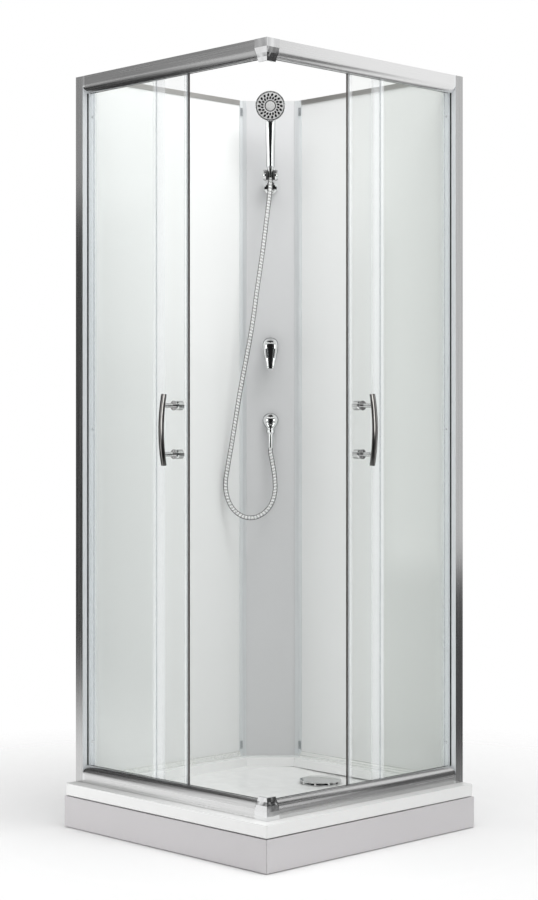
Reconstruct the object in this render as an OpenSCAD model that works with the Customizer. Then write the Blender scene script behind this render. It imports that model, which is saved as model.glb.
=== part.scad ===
// Corner-entry shower cabin on a low square tray with an apron.
// Two fixed panes and two sliding doors meet at the entry corner; two glass back
// walls meet at a corner column that carries the mixer, the hose outlet and the
// handset holder.
// Origin: centre of the tray's footprint, on the floor. The entry corner points
// to +X -Y and the column stands at -X +Y. The doors are drawn open.
// Left and right are as seen from outside, facing the entry corner.

/* [Cabin] */
// Side of the square tray
tray_side = 800; // [780:10:900]
// Floor to the top of the tray rim, where the frame stands
rim_z = 120; // [112:1:150]
// Height of the front frame above the rim
frame_h = 1957; // [1800:1:2100]
// How far the back walls stand above the front frame
back_rise = 8; // [0:1:20]
// Front of the tray to the outer face of the front frame
frame_inset = 40; // [30:1:60]
// Back of the tray to the inner face of a back wall
wall_inset = 20; // [18:1:30]
// Length of the corner column along each back wall
column_leg = 120; // [110:1:150]

/* [Tray] */
// Height of the rolled outer rim
rim_h = 32; // [24:1:40]
// Thickness of the rim deck
deck_t = 6; // [4:0.5:8]
// Thickness of the rim lip
lip_t = 6; // [4:0.5:10]
// Set-back of the rim lip from the apron
rim_setback = 3; // [1:0.5:6]
// Width of the deck behind the front frame
deck_inner = 14; // [8:1:30]
// Width of the deck in front of the back walls
deck_back = 35; // [20:1:60]
// Depth of the basin at its edge
basin_depth = 24; // [14:1:26]
// Extra fall of the basin floor at the drain
basin_fall = 6; // [3:0.5:6]
// Rim top to the underside of the basin
tray_depth = 40; // [38:1:48]
// Corner radius of the basin
basin_r = 70; // [30:1:120]
// Share of the basin's plan that is left at its floor
basin_taper = 0.965; // [0.94:0.005:1]

/* [Apron] */
// Wall of the moulded apron panel
apron_t = 4; // [3:0.5:5]
// Depth of the apron's folded edges
apron_fold = 16; // [12:1:24]
// Shadow gap between the apron and the rim
apron_gap = 3; // [2:0.5:6]
// Floor clearance of the apron
apron_lift = 2; // [1:0.5:6]

/* [Support frame] */
// Width and height of a square support tube
tube_w = 20; // [18:1:25]
// Wall of a support tube
tube_t = 2; // [1.5:0.5:2.5]
// Trap to the tube behind it
trap_clear = 1; // [1:1:10]
// Radius of a foot's threaded rod
rod_r = 6; // [5:0.5:6.5]
// Radius of a foot's pad
pad_r = 24; // [18:1:28]
// Thickness of a foot's pad
pad_h = 12; // [8:1:14]
// Height of a lock nut
nut_h = 7; // [5:1:8]

/* [Drain] */
// Drain centre in front of the right back wall's tray edge
drain_back = 175; // [160:1:185]
// Drain centre to the left of the tray's middle
drain_left = 20; // [0:1:40]
// Radius of the cover
cover_r = 60; // [56:1:66]
// Thickness of the cover
cover_t = 2.5; // [2:0.5:3.5]
// Height of the slots under the cover
slot_h = 6; // [4:0.5:8]
// Number of spokes round the cover
spokes = 24; // [16:1:32]
// Radius of the drain hole in the tray
drain_r = 45; // [42:1:47]
// Width of the flange outside the hole
flange_w = 8; // [6:0.5:10]
// Radius of the trap under the tray
trap_r = 54; // [51:1:58]
// Radius of the waste pipe
waste_r = 20; // [16:1:20]
// Length of the waste pipe's free end, up to its stop collar
waste_push = 60; // [45:1:65]
// Height of the waste pipe's centre line
waste_z = 32; // [30:1:33]
// Wall of the trap and of the waste pipe
trap_t = 3; // [2:0.5:3.5]

/* [Frame profiles] */
// Height of a rail
rail_h = 48; // [44:1:56]
// Depth of a rail
rail_d = 42.5; // [42.5:0.5:43]
// Wall of the rails and posts
wall = 2; // [1.5:0.1:2.2]
// Height of the curved half of the rail's face
curve_h = 24; // [20:1:26]
// How far the curve draws in
curve_in = 12; // [8:1:13]
// Width of a wall post
post_w = 30; // [26:1:36]
// Depth of a wall post
post_d = 45; // [40:1:52]
// Arm of a corner connector along each face
corner_arm = 43; // [36:1:50]
// Height of a corner connector
corner_h = 55; // [52:1:58]
// How far a connector stands proud of the rails
corner_proud = 1.5; // [1:0.1:2]
// Length of the end piece between a rail and its post
end_l = 8; // [6:1:12]
// Spigot that a connector pushes into a rail
spigot_l = 20; // [12:1:26]

/* [Glass] */
// Thickness of the fixed panes and doors
glass_t = 5; // [4:0.5:5]
// Frame face to the middle of a fixed pane
pane_d = 18.5; // [18.5:0.1:18.6]
// Frame face to the middle of a door
door_d = 35; // [34.5:0.1:36]
// Leading edge of a fixed pane, from the middle of the tray
pane_lead = -80; // [-95:1:-70]
// Width of a door with its seals
door_w = 400; // [390:1:402]
// Wall post to the trailing edge of an open door
door_stop = 4.6; // [2:0.1:20]
// Thickness of a glass back wall
back_t = 6; // [5:0.5:8]
// Overlap of a clip-on seal over the glass edge
seal_clip = 8; // [6:0.5:10]
// Wall of a clip-on seal
seal_wall = 2; // [1.5:0.1:2]
// Reach of the fixed pane's seal past the glass
seal_reach = 21; // [12:1:24]

/* [Door running gear] */
// Flange radius of a roller
roller_r = 10.5; // [10:0.1:10.7]
// Width of a roller
roller_w = 6; // [5:0.1:6]
// Radius of the rail's running bead
bead_r = 1.5; // [1.2:0.1:1.6]
// Bead centre to roller centre
roller_rise = 11; // [11:0.1:12]
// Radius of a roller's axle
axle_r = 3; // [2.5:0.1:3.5]
// Door edge to the nearer roller
roller_edge = 105; // [90:1:120]
// Radius of the cap that holds an axle behind the glass
head_r = 15; // [13:0.5:16]
// Depth of that cap
head_l = 6; // [4:0.5:8]

/* [Handle] */
// Length of the bow bar
bar_l = 190; // [170:1:240]
// Width of the bow bar
bar_w = 18; // [14:1:22]
// Thickness of the bow bar
bar_t = 7; // [6:0.5:9]
// Rise of the bow
bar_bow = 10; // [6:1:16]
// Distance between the two posts
post_pitch = 129; // [120:1:145]
// Radius of a handle post
grip_post_r = 6; // [5:0.5:8]
// Frame face to the outermost point of the bow
bar_out = 18; // [14:1:24]
// Height of the handle's middle above the rim
handle_h = 977; // [850:1:1050]
// Leading edge of the door to the handle
handle_edge = 60; // [52:1:64]
// Radius of the inner knob
knob_r = 12.5; // [10:0.5:14]
// Depth of the inner knob
knob_l = 25; // [18:1:28]

/* [Column and back wall trim] */
// Thickness of the column panel
column_t = 4; // [3:0.5:5]
// Visible width of a vertical profile
trim_w = 12; // [10:1:16]
// Wall of the trim profiles
trim_t = 2; // [1.5:0.1:2.5]
// Height of the top profile
cap_h = 14; // [12:1:20]
// Height of the sill profile
sill_h = 16; // [12:1:22]

/* [Mixer and hose outlet] */
// Height of the mixer above the rim
mixer_h = 1229; // [1100:1:1260]
// Height of the hose outlet above the rim
outlet_h = 1004; // [1002:1:1006]
// Radius of the mixer's wall plate
plate_r = 28; // [26:0.5:34]
// Thickness of the wall plate
plate_t = 8; // [6:0.5:10]
// Radius of the lever's cap
cap_r = 23.5; // [22:0.5:25]
// Column face to the lever's pivot
pivot_out = 31; // [30:0.5:36]
// Pivot to the tip of the lever
lever_l = 74; // [60:1:90]
// Width of the lever at its tip
lever_tip = 20; // [14:1:22]
// Radius of a threaded water inlet
inlet_r = 10.4; // [9:0.1:11]
// Length of a threaded water inlet
inlet_l = 16; // [12:1:18]
// Radius of the link pipe
link_r = 8; // [6:0.5:9]
// Radius of the outlet dome
dome_r = 25; // [22:0.5:28]
// Column face to the hose nipple
nipple_out = 24; // [22:0.5:26]
// Radius of the outlet nut
outlet_nut_r = 11.5; // [10:0.5:13]
// Height of the outlet nut
outlet_nut_h = 14; // [12:1:16]

/* [Handset and holder] */
// Column top to the holder's pivot
holder_drop = 229; // [225:1:240]
// Column face to the holder's pivot
holder_out = 46; // [44:1:50]
// Pivot down to the centre of the wall base
base_drop = 32; // [30:1:36]
// Radius of the wall base
base_r = 19.5; // [18:0.5:22]
// Radius of a cheek
cheek_r = 16.5; // [16:0.5:19]
// Outer width over the cheeks
cheek_span = 43; // [42:1:48]
// Width of the swivelling jaw
jaw_w = 27; // [26:0.5:28]
// Radius of the swivelling jaw
jaw_r = 14.5; // [13.5:0.1:14.5]
// Lean of the handset out of the vertical, degrees
lean = 12; // [6:1:16]
// Radius of the hose nut at its lower end
cone_r1 = 8; // [7.5:0.1:8.2]
// Radius of the hose nut at its upper end
cone_r2 = 9.8; // [9:0.1:10]
// Length of the hose nut
cone_l = 31; // [28:1:34]
// Hose nut's lower end below the pivot
cone_drop = 6; // [4:0.5:8]
// Radius of the handle at its lower end
grip_r1 = 12; // [11:0.1:13]
// Radius of the handle at its upper end
grip_r2 = 14.5; // [13:0.1:16]
// Length of the handle
grip_l = 128; // [115:1:140]
// Pivot to the centre of the head
head_rise = 204; // [195:1:215]
// Handle's axis to the front of the head
head_out = 16; // [15:0.5:20]
// Radius of the head
spray_r = 44; // [40:0.5:50]
// Depth of the head
spray_d = 22; // [18:1:28]
// How far the spray face looks down, degrees
face_down = 8; // [0:1:25]
// Nozzles in each ring
nozzles = 18; // [12:1:24]

/* [Hose] */
// Outer radius of a rib
hose_r = 7; // [6.5:0.1:7]
// Radius between the ribs
hose_valley = 6.1; // [5.5:0.1:6.3]
// Radius of the bore
hose_bore = 4; // [3:0.1:4.5]
// Number of ribs along the hose
hose_ribs = 196; // [120:1:200]

/* [Clearances] */
// Between a bearing and its pin
run_gap = 0.05; // [0.02:0.01:0.1]
// Between neighbours that move past each other
pass_gap = 0.3; // [0.2:0.05:0.4]
// Inner lip of a rail to the edge of a door's glass
edge_gap = 4; // [3:0.5:6]
// Between the hose's ends and the nuts they meet
hose_gap = 0.05; // [0.02:0.01:0.1]
// Around a bolt in a glass hole
bolt_gap = 1; // [0.5:0.1:1.5]
// Between the two closing edges of the doors
meet_gap = 0.4; // [0.2:0.1:1]

/* [Hidden] */

$fn = 64;
eps = 0.01;
far = 2 * tray_side;

// Colours
acrylic = "#e9ebeb";
chrome = "#c9cdd0";
silver = "#b4b7b9";
brushed = "#85888c";
clear = [0.75, 0.84, 0.83, 0.35];
white_glass = "#eef1f1";
panel_grey = "#d3d5d7";
black_rubber = "#26282a";
soft_seal = [0.78, 0.79, 0.78, 0.7];
brass = "#b89a55";
zinc = "#9a9ea2";
plastic = "#3d4043";

// Planes of the cabin
half = tray_side / 2;
face = half - frame_inset;
inner = half - wall_inset;
top_z = rim_z + frame_h;
back_top = top_z + back_rise;
column_c = inner - column_leg / 2;
column_w = column_leg * sqrt(2);
floor_z = rim_z - basin_depth;
drain_z = floor_z - basin_fall;
under_z = rim_z - tray_depth;
drain_y = half - drain_back;

// Rail section: depth from the frame face, distance from the rail's outer edge
curve_r = (curve_in * curve_in + curve_h * curve_h) / (2 * curve_in);
web_t = 2.5;
chamber_h = 30;
back_wall_d = pane_d + glass_t / 2 + 0.5;
shelf_v = 40;
shelf_t = 2.5;
bead_d = back_wall_d + wall + 5;
shelf_end = bead_d + 2.5;
lip_v = 12;
roller_v = shelf_v - roller_rise;
pane_v = chamber_h + 2;
seal_v = shelf_v + shelf_t + 1.5;
door_v = lip_v + edge_gap;

// Doors, at their open place
rail_from = -half + post_w;
trail = rail_from + door_stop;
lead = trail + door_w;
door_out = door_d - glass_t / 2;
door_in = door_d + glass_t / 2;
magnet_l = 10;
glass_lead = lead - magnet_l;
glass_trail = trail + seal_wall;
handle_s = lead - handle_edge;
handle_z = rim_z + handle_h;
axle_tip = bead_d - roller_w / 2 - 1.2;

// Column fittings
mixer_z = rim_z + mixer_h;
outlet_z = rim_z + outlet_h;
holder_z = back_top - holder_drop;
ferrule_r = 7.2;
ferrule_l = 40;
nipple_drop = 26;
nut_top = outlet_z - nipple_drop;
hose_start = nut_top - outlet_nut_h - ferrule_l - hose_gap;

// Handset nut's lower end, where the hose meets it
hose_drop = cone_drop + hose_gap;
hose_end = [holder_out - hose_drop * sin(lean), 0, holder_z - hose_drop * cos(lean)];
straight = 2 * hose_r;

// Route of the hose from the outlet to the handset: out of the column, to the
// right of its middle, height
ROUTE = concat(
    [[nipple_out, 0, hose_start], [nipple_out, 0, hose_start - straight]],
    [
        [28, 7, 992], [38, 13, 952], [48, 13, 912], [56, 2, 876], [62, -20, 850],
        [66, -50, 837], [69, -82, 841], [71, -110, 862], [72, -128, 898],
        [72, -133, 940], [72, -126, 990], [71, -114, 1060], [70, -102, 1135],
        [69, -90, 1210], [68, -76, 1285], [67, -62, 1360], [65, -50, 1435],
        [63, -40, 1510], [60, -29, 1585], [57, -19, 1660], [53, -10, 1735],
        [46, -3, 1795]
    ],
    [hose_end - straight * [sin(lean), 0, cos(lean)], hose_end]
);

// Frames of reference
module right_side() { mirror([1, 1, 0]) children(); }
module both_sides() { children(); right_side() children(); }
module on_face() { translate([0, -face, 0]) children(); }
module on_column(z = 0) {
    translate([-column_c, column_c, z]) rotate([0, 0, -45]) children();
}
module on_handset() {
    on_column(holder_z) translate([holder_out, 0, 0]) rotate([0, lean, 0]) children();
}
module on_head() {
    on_handset() translate([head_out, 0, head_rise])
        rotate([0, 90 + face_down - lean, 0]) children();
}
module along_x(length) { rotate([90, 0, 90]) linear_extrude(length) children(); }
module rod_x(r, length) { rotate([0, 90, 0]) cylinder(r = r, h = length); }
module rod_y(r, length) { rotate([-90, 0, 0]) cylinder(r = r, h = length); }
module rounded(w, l, r) {
    translate([r, 0]) square([w - 2 * r, l]);
    translate([0, r]) square([w, l - 2 * r]);
    for (x = [r, w - r], y = [r, l - r]) translate([x, y]) circle(r);
}

// Keeps what lies on the left side's part of the corner mitre
module mitre(gap = 0) {
    intersection() {
        children();
        translate([-gap / sqrt(2), -gap / sqrt(2), -eps])
            rotate([0, 0, -45]) translate([-far, -far, -far])
                cube([2 * far, far, 2 * far]);
    }
}

// Tray
module basin_plan(inset = 0) {
    lo_x = -inner + deck_back + inset;
    hi_x = face - rail_d - deck_inner - inset;
    difference() {
        translate([lo_x, -hi_x]) rounded(hi_x - lo_x, hi_x - lo_x, basin_r);
        translate([-column_c, column_c]) rotate(-45)
            translate([-far, -far / 2]) square([far + deck_back + inset, far]);
    }
}
module shower_tray() {
    rim_edge = half - rim_setback;
    color(acrylic) difference() {
        union() {
            translate([-half, -rim_edge, rim_z - rim_h])
                linear_extrude(rim_h) rounded(half + rim_edge, half + rim_edge, lip_t);
            translate([0, 0, under_z])
                linear_extrude(tray_depth - eps) basin_plan(-deck_t);
        }
        difference() {
            translate([-half + lip_t, -rim_edge + lip_t, rim_z - rim_h - eps])
                cube([half + rim_edge - 2 * lip_t, half + rim_edge - 2 * lip_t,
                      rim_h - deck_t + eps]);
            translate([0, 0, under_z - eps]) linear_extrude(tray_depth) basin_plan(-deck_t);
        }
        translate([0, 0, rim_z + eps]) mirror([0, 0, 1])
            linear_extrude(basin_depth + eps, scale = basin_taper) basin_plan();
        translate([-drain_left, drain_y, drain_z])
            cylinder(r1 = cover_r, r2 = tray_side / 3, h = basin_fall + eps);
        translate([-drain_left, drain_y, drain_z])
            cylinder(r = cover_r + 1, h = basin_fall);
        translate([-drain_left, drain_y, under_z - 1]) cylinder(r = drain_r, h = tray_depth);
    }
}

// Apron: moulded panels with folded edges, mitred at the entry corner
module apron_left() {
    apron_top = rim_z - rim_h - apron_gap;
    color(acrylic) mitre(pass_gap) translate([-half, -half, 0]) along_x(tray_side)
        difference() {
            translate([0, apron_lift]) square([apron_fold, apron_top - apron_lift]);
            translate([apron_t, apron_lift + apron_t])
                square([apron_fold, apron_top - apron_lift - 2 * apron_t]);
        }
}
module apron_right() { right_side() apron_left(); }

// Support frame: lower tubes along Y, upper tubes along X, and stays for the apron
stay_y = half - apron_t;
tube_span = drain_y + trap_r + trap_clear + tube_w / 2;
module tube_x(length) {
    along_x(length) difference() {
        square([tube_w, tube_w]);
        translate([tube_t, tube_t]) square([tube_w - 2 * tube_t, tube_w - 2 * tube_t]);
    }
}
module apron_stays(z) {
    for (s = [-1, 1]) translate([s * tube_span - tube_w / 2, -stay_y, z]) {
        cube([tube_w, stay_y - tube_l / 2, tube_t]);
        cube([tube_w, tube_t, tube_w]);
    }
}
lower_z = under_z - 2 * tube_w;
upper_z = under_z - tube_w;
tube_l = 2 * tube_span + 3 * tube_w;
module tray_frame() {
    color(zinc) difference() {
        union() {
            for (s = [-1, 1]) translate([s * tube_span + tube_w / 2, -tube_l / 2, lower_z])
                rotate([0, 0, 90]) tube_x(tube_l);
            for (y = [-tube_span, 0, tube_span]) translate([-tube_l / 2, y - tube_w / 2, upper_z])
                tube_x(tube_l);
            apron_stays(lower_z);
            right_side() apron_stays(upper_z);
        }
        for (p = foot_places()) translate([p.x, p.y, lower_z - 1])
            cylinder(r = rod_r + pass_gap, h = tube_w + 1);
    }
}
function foot_places() = [for (x = [-1, 1], y = [-1, 0, 1])
    [x * tube_span, y * (tube_span - 2 * tube_w)]];

// Feet: pad, threaded rod and the lock nut that the tube rests on
module levelling_feet() {
    color(plastic) for (p = foot_places()) translate(p) {
        rotate_extrude() polygon([
            [0, 0], [pad_r, 0], [pad_r, pad_h / 3], [pad_r / 2, pad_h], [0, pad_h]
        ]);
        cylinder(r = rod_r, h = lower_z + tube_w - tube_t);
        translate([0, 0, lower_z - nut_h]) cylinder(r = rod_r * 1.7, h = nut_h, $fn = 6);
    }
}

// Drain
module at_drain() { translate([-drain_left, drain_y, 0]) children(); }
flange_t = 2;
module drain_flange() {
    neck = drain_r - pass_gap;
    color(chrome) at_drain() difference() {
        union() {
            translate([0, 0, drain_z]) cylinder(r = drain_r + flange_w, h = flange_t);
            translate([0, 0, under_z - tube_w / 2])
                cylinder(r = neck, h = drain_z + flange_t - under_z + tube_w / 2);
        }
        translate([0, 0, 0]) cylinder(r = neck - 2 * flange_t, h = rim_z);
    }
}
trap_z = 10;
module drain_trap() {
    trap_top = under_z;
    bore_r = drain_r;
    color(plastic) at_drain() difference() {
        union() {
            translate([0, 0, trap_z]) cylinder(r = trap_r, h = trap_top - trap_z);
            translate([0, 0, waste_z]) rod_y(waste_r + trap_t, trap_r + 20);
        }
        translate([0, 0, trap_z + trap_t]) cylinder(r = bore_r, h = trap_top);
        translate([0, drain_r - 2, waste_z]) rod_y(waste_r - trap_t, trap_r + 20);
        translate([0, trap_r + 4, waste_z]) rod_y(waste_r + run_gap, trap_r + 20);
    }
}
module waste_pipe() {
    pipe_l = half - drain_y - trap_r - 4;
    collar_t = 4;
    color(plastic) at_drain() translate([0, trap_r + 4, waste_z]) difference() {
        union() {
            rod_y(waste_r, pipe_l);
            translate([0, pipe_l - waste_push - collar_t, 0]) rod_y(waste_r + 2, collar_t);
        }
        translate([0, -1, 0]) rod_y(waste_r - trap_t, pipe_l + 2);
    }
}
cover_z = drain_z + flange_t + slot_h;
module drain_cover() {
    spoke_w = 3;
    spoke_in = drain_r - 2;
    color(chrome) at_drain() {
        translate([0, 0, cover_z]) rotate_extrude() polygon([
            [0, 0], [cover_r, 0], [cover_r, cover_t / 3], [cover_r - 3, cover_t],
            [cover_r - 14, cover_t + 0.8], [0, cover_t + 1.6]
        ]);
        for (i = [0 : spokes - 1]) rotate(i * 360 / spokes)
            translate([spoke_in, -spoke_w / 2, cover_z - slot_h])
                cube([drain_r + flange_w - spoke_in - 1, spoke_w, slot_h + eps]);
        translate([0, 0, cover_z - slot_h - 6]) cylinder(r = 5, h = slot_h + 6 + eps);
    }
}
module drain_strainer() {
    cup_r = drain_r - 3 * flange_t - 2;
    cup_h = 24;
    cup_t = 1.5;
    cup_top = cover_z - slot_h - 6;
    hole_r = 3;
    color(plastic) at_drain() translate([0, 0, cup_top - cup_h]) difference() {
        union() {
            cylinder(r = cup_r, h = cup_h - cup_t);
            for (a = [0, 90]) rotate(a)
                translate([-cup_r, -3, cup_h - cup_t - eps]) cube([2 * cup_r, 6, cup_t + eps]);
        }
        difference() {
            translate([0, 0, cup_t]) cylinder(r = cup_r - cup_t, h = cup_h - 2 * cup_t);
            cylinder(r = 5, h = cup_h);
        }
        for (ring = [[12, 6], [22, 12]], i = [1 : ring[1]]) rotate(i * 360 / ring[1])
            translate([ring[0], 0, -1]) cylinder(r = hole_r, h = 2 * cup_t, $fn = 16);
    }
}

// Rails: curved face, pane groove, and a bead on a shelf for the door rollers
module rail_section() {
    square([wall, rail_h - curve_h]);
    intersection() {
        translate([curve_r, rail_h - curve_h]) difference() {
            circle(curve_r, $fn = 128);
            circle(curve_r - wall, $fn = 128);
        }
        translate([0, rail_h - curve_h]) square([curve_r, curve_h]);
    }
    square([rail_d, web_t]);
    translate([wall / 2, chamber_h - wall]) square([back_wall_d, wall]);
    translate([back_wall_d, 0]) square([wall, rail_h]);
    translate([back_wall_d, shelf_v]) square([shelf_end - back_wall_d, shelf_t]);
    translate([bead_d, shelf_v]) circle(bead_r, $fn = 32);
    translate([rail_d - wall, 0]) square([wall, lip_v]);
}
rail_start = rail_from + end_l;
rail_to = face - corner_arm;
module top_rail_left() {
    color(silver) on_face() translate([rail_start, 0, top_z])
        along_x(rail_to - rail_start) mirror([0, 1]) rail_section();
}
module bottom_rail_left() {
    drain_slot = 14;
    slot_pitch = 90;
    color(silver) on_face() difference() {
        translate([rail_start, 0, rim_z]) along_x(rail_to - rail_start) rail_section();
        for (x = [rail_start + slot_pitch : slot_pitch : rail_to - slot_pitch])
            translate([x, rail_d - 2 * wall, rim_z + web_t])
                cube([drain_slot, 3 * wall, 3]);
    }
}
module top_rail_right() { right_side() top_rail_left(); }
module bottom_rail_right() { right_side() bottom_rail_left(); }

// Corner connectors: faceted castings with a spigot for each rail's hollow chamber
module corner_section() {
    back = back_wall_d;
    polygon([
        [-corner_proud, 0], [-corner_proud, rail_h - curve_h - 2],
        [curve_in * 0.25, rail_h - curve_h + 12], [curve_in * 0.7, rail_h - 3],
        [curve_in, corner_h], [curve_in + 5, corner_h], [back, rail_h], [back, 0]
    ]);
}
module corner_block() {
    both_sides() mitre() on_face() translate([rail_to, 0, 0])
        along_x(face - rail_to + corner_proud) corner_section();
    both_sides() on_face() translate([rail_to - spigot_l, wall + pass_gap, web_t + pass_gap])
        cube([spigot_l + wall, back_wall_d - wall - 2 * pass_gap,
              chamber_h - wall - web_t - 2 * pass_gap]);
}

// End pieces: they close the rails at the posts, with a spigot in each rail's chamber
module rail_ends() {
    base = rail_h - curve_h;
    pane_edge = pane_d - glass_t / 2 - pass_gap;
    module end_piece() {
        along_x(end_l) {
            square([back_wall_d, base]);
            intersection() {
                translate([curve_r, base]) circle(curve_r, $fn = 128);
                translate([0, base]) union() {
                    square([pane_edge, curve_h]);
                    square([back_wall_d, chamber_h - base]);
                }
            }
        }
        translate([end_l - wall, wall + pass_gap, web_t + pass_gap])
            cube([wall + spigot_l / 2, back_wall_d - wall - 2 * pass_gap,
                  chamber_h - wall - web_t - 2 * pass_gap]);
    }
    color(chrome) both_sides() on_face() translate([rail_from, 0, 0]) {
        translate([0, 0, rim_z]) end_piece();
        translate([0, 0, top_z]) mirror([0, 0, 1]) end_piece();
    }
}

module top_corner() { color(chrome) translate([0, 0, top_z]) mirror([0, 0, 1]) corner_block(); }
module bottom_corner() { color(chrome) translate([0, 0, rim_z]) corner_block(); }

// Wall posts: a groove for the fixed pane and one for the back wall
groove = 16;
module post_left() {
    pane_edge = pane_d - glass_t / 2;
    color(brushed) translate([-half, -face, rim_z]) linear_extrude(frame_h) difference() {
        square([post_w, post_d]);
        translate([post_w - groove, pane_edge - pass_gap])
            square([groove + 1, glass_t + 2 * pass_gap]);
        translate([wall_inset - back_t - pass_gap, post_d - groove])
            square([back_t + 2 * pass_gap, groove + 1]);
        translate([wall, wall]) square([post_w - 2 * wall, pane_edge - pass_gap - 2 * wall]);
        translate([wall, pane_edge]) square([post_w - groove - 2 * wall, glass_t]);
        translate([wall_inset + pass_gap + wall, post_d - groove])
            square([post_w - wall_inset - 2 * wall - pass_gap, groove - wall]);
    }
}
module post_right() { right_side() post_left(); }

// Screws: three on the inner side of each post, behind the open door
module frame_screws() {
    screw_r = 4.2;
    screw_t = 2.2;
    screw_end = 110;
    color(chrome) both_sides() for (z = [rim_z + screw_end, rim_z + frame_h / 2, top_z - screw_end])
        translate([-half + post_w, -face + door_d, z]) rotate([0, 90, 0]) rotate_extrude()
            polygon([[0, 0], [screw_r, 0], [screw_r * 0.7, screw_t * 0.8], [0, screw_t]]);
}

// Fixed panes and their edge seals
pane_from = -half + post_w - groove + 1;
module fixed_glass_left() {
    color(clear) on_face() translate([pane_from, pane_d - glass_t / 2, rim_z + pane_v])
        cube([pane_lead - pane_from, glass_t, frame_h - 2 * pane_v]);
}
module fixed_glass_right() { right_side() fixed_glass_left(); }
module glass_seals() {
    clip_d = glass_t / 2 + seal_wall;
    tip = door_out - 1.5 - pass_gap;
    color(soft_seal) both_sides() on_face() translate([pane_lead, 0, rim_z + rail_h + pass_gap])
        linear_extrude(frame_h - 2 * rail_h - 2 * pass_gap) {
            difference() {
                translate([-seal_clip - 2, pane_d - clip_d])
                    square([seal_clip + 2 + seal_wall, 2 * clip_d]);
                translate([-seal_clip - 3, pane_d - glass_t / 2]) square([seal_clip + 3, glass_t]);
            }
            translate([0, pane_d + glass_t / 2]) square([seal_reach, seal_wall]);
            translate([seal_reach - seal_wall, pane_d + glass_t / 2])
                square([seal_wall, tip - pane_d - glass_t / 2]);
        }
}

// Doors
roller_places = [lead - roller_edge, trail + roller_edge];
door_h = frame_h - 2 * door_v;
seal_h = frame_h - 2 * seal_v;
module at_carriers() {
    for (s = roller_places) {
        translate([s, 0, rim_z]) children();
        translate([s, 0, top_z]) mirror([0, 0, 1]) children();
    }
}
bolt_r = 4;
module door_glass_left() {
    color(clear) on_face() difference() {
        translate([glass_trail, door_out, rim_z + door_v])
            cube([glass_lead - glass_trail, glass_t, door_h]);
        at_carriers() translate([0, door_out - 1, roller_v])
            rod_y(bolt_r + bolt_gap, glass_t + 2);
        for (z = [-1, 1]) translate([handle_s, door_out - 1, handle_z + z * post_pitch / 2])
            rod_y(bolt_r + bolt_gap, glass_t + 2);
    }
}
module door_seal_left() {
    clip_d = glass_t / 2 + seal_wall;
    color(soft_seal) on_face() translate([0, 0, rim_z + seal_v]) linear_extrude(seal_h) {
        // Magnetic closing edge, cut at 45 degrees
        difference() {
            polygon([
                [glass_lead - seal_clip, door_d - clip_d], [lead + clip_d, door_d - clip_d],
                [lead - clip_d, door_d + clip_d], [glass_lead - seal_clip, door_d + clip_d]
            ]);
            translate([glass_lead - seal_clip - 1, door_out]) square([seal_clip + 1, glass_t]);
        }
        // Trailing edge, with a fin towards the fixed pane
        difference() {
            translate([trail, door_d - clip_d]) square([seal_wall + seal_clip, 2 * clip_d]);
            translate([glass_trail, door_out]) square([seal_clip + 1, glass_t]);
        }
        translate([trail, back_wall_d + wall + pass_gap])
            square([seal_wall, door_out - back_wall_d - wall - pass_gap]);
    }
}

// Carriers: an axle for each roller, bolted through the glass, with a spacer in front
// and a cap behind
module door_carriers_left() {
    end_t = 1;
    spacer_gap = 0.2;
    color(chrome) on_face() at_carriers() translate([0, 0, roller_v]) {
        translate([0, axle_tip, 0]) rod_y(axle_r, door_out - axle_tip + eps);
        translate([0, axle_tip, 0]) rod_y(axle_r + 2, end_t);
        translate([0, bead_d + roller_w / 2 + spacer_gap, 0])
            rod_y(2 * bolt_r, door_out - bead_d - roller_w / 2 - spacer_gap);
        translate([0, door_out - eps, 0]) rod_y(bolt_r, glass_t + 2 * eps);
        translate([0, door_in, 0]) rotate([-90, 0, 0]) rotate_extrude() polygon([
            [0, 0], [head_r, 0], [head_r, head_l / 2], [head_r - 2, head_l], [0, head_l]
        ]);
    }
}
module door_handle_left() {
    bow_r = (bar_l * bar_l / 4 + bar_bow * bar_bow) / (2 * bar_bow);
    bow_angle = asin(bar_l / 2 / bow_r);
    crown = 3;
    crown_r = (bar_w * bar_w / 4 + crown * crown) / (2 * crown);
    washer_r = 13;
    washer_t = 2;
    color(chrome) on_face() translate([handle_s, 0, handle_z]) {
        translate([0, bow_r - bar_out, 0]) rotate([0, 90, 0])
            rotate([0, 0, -90 - bow_angle]) rotate_extrude(angle = 2 * bow_angle, $fn = 200)
                intersection() {
                    translate([bow_r - crown_r, 0]) circle(crown_r, $fn = 64);
                    translate([bow_r - bar_t, -bar_w / 2]) square([bar_t, bar_w]);
                }
        for (z = [-1, 1]) translate([0, 0, z * post_pitch / 2]) {
            translate([0, -bar_out / 2, 0]) rod_y(grip_post_r, door_out + bar_out / 2);
            translate([0, door_out - washer_t, 0]) rod_y(washer_r, washer_t);
            translate([0, door_out - eps, 0]) rod_y(bolt_r, glass_t + 2 * eps);
            translate([0, door_in, 0]) rotate([-90, 0, 0]) rotate_extrude() polygon([
                [0, 0], [knob_r - 2, 0], [knob_r, 3], [knob_r, knob_l - 4],
                [knob_r - 4, knob_l], [0, knob_l]
            ]);
        }
    }
}
module door_glass_right() { right_side() door_glass_left(); }
module door_seal_right() { right_side() door_seal_left(); }
module door_carriers_right() { right_side() door_carriers_left(); }
module door_handle_right() { right_side() door_handle_left(); }

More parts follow.
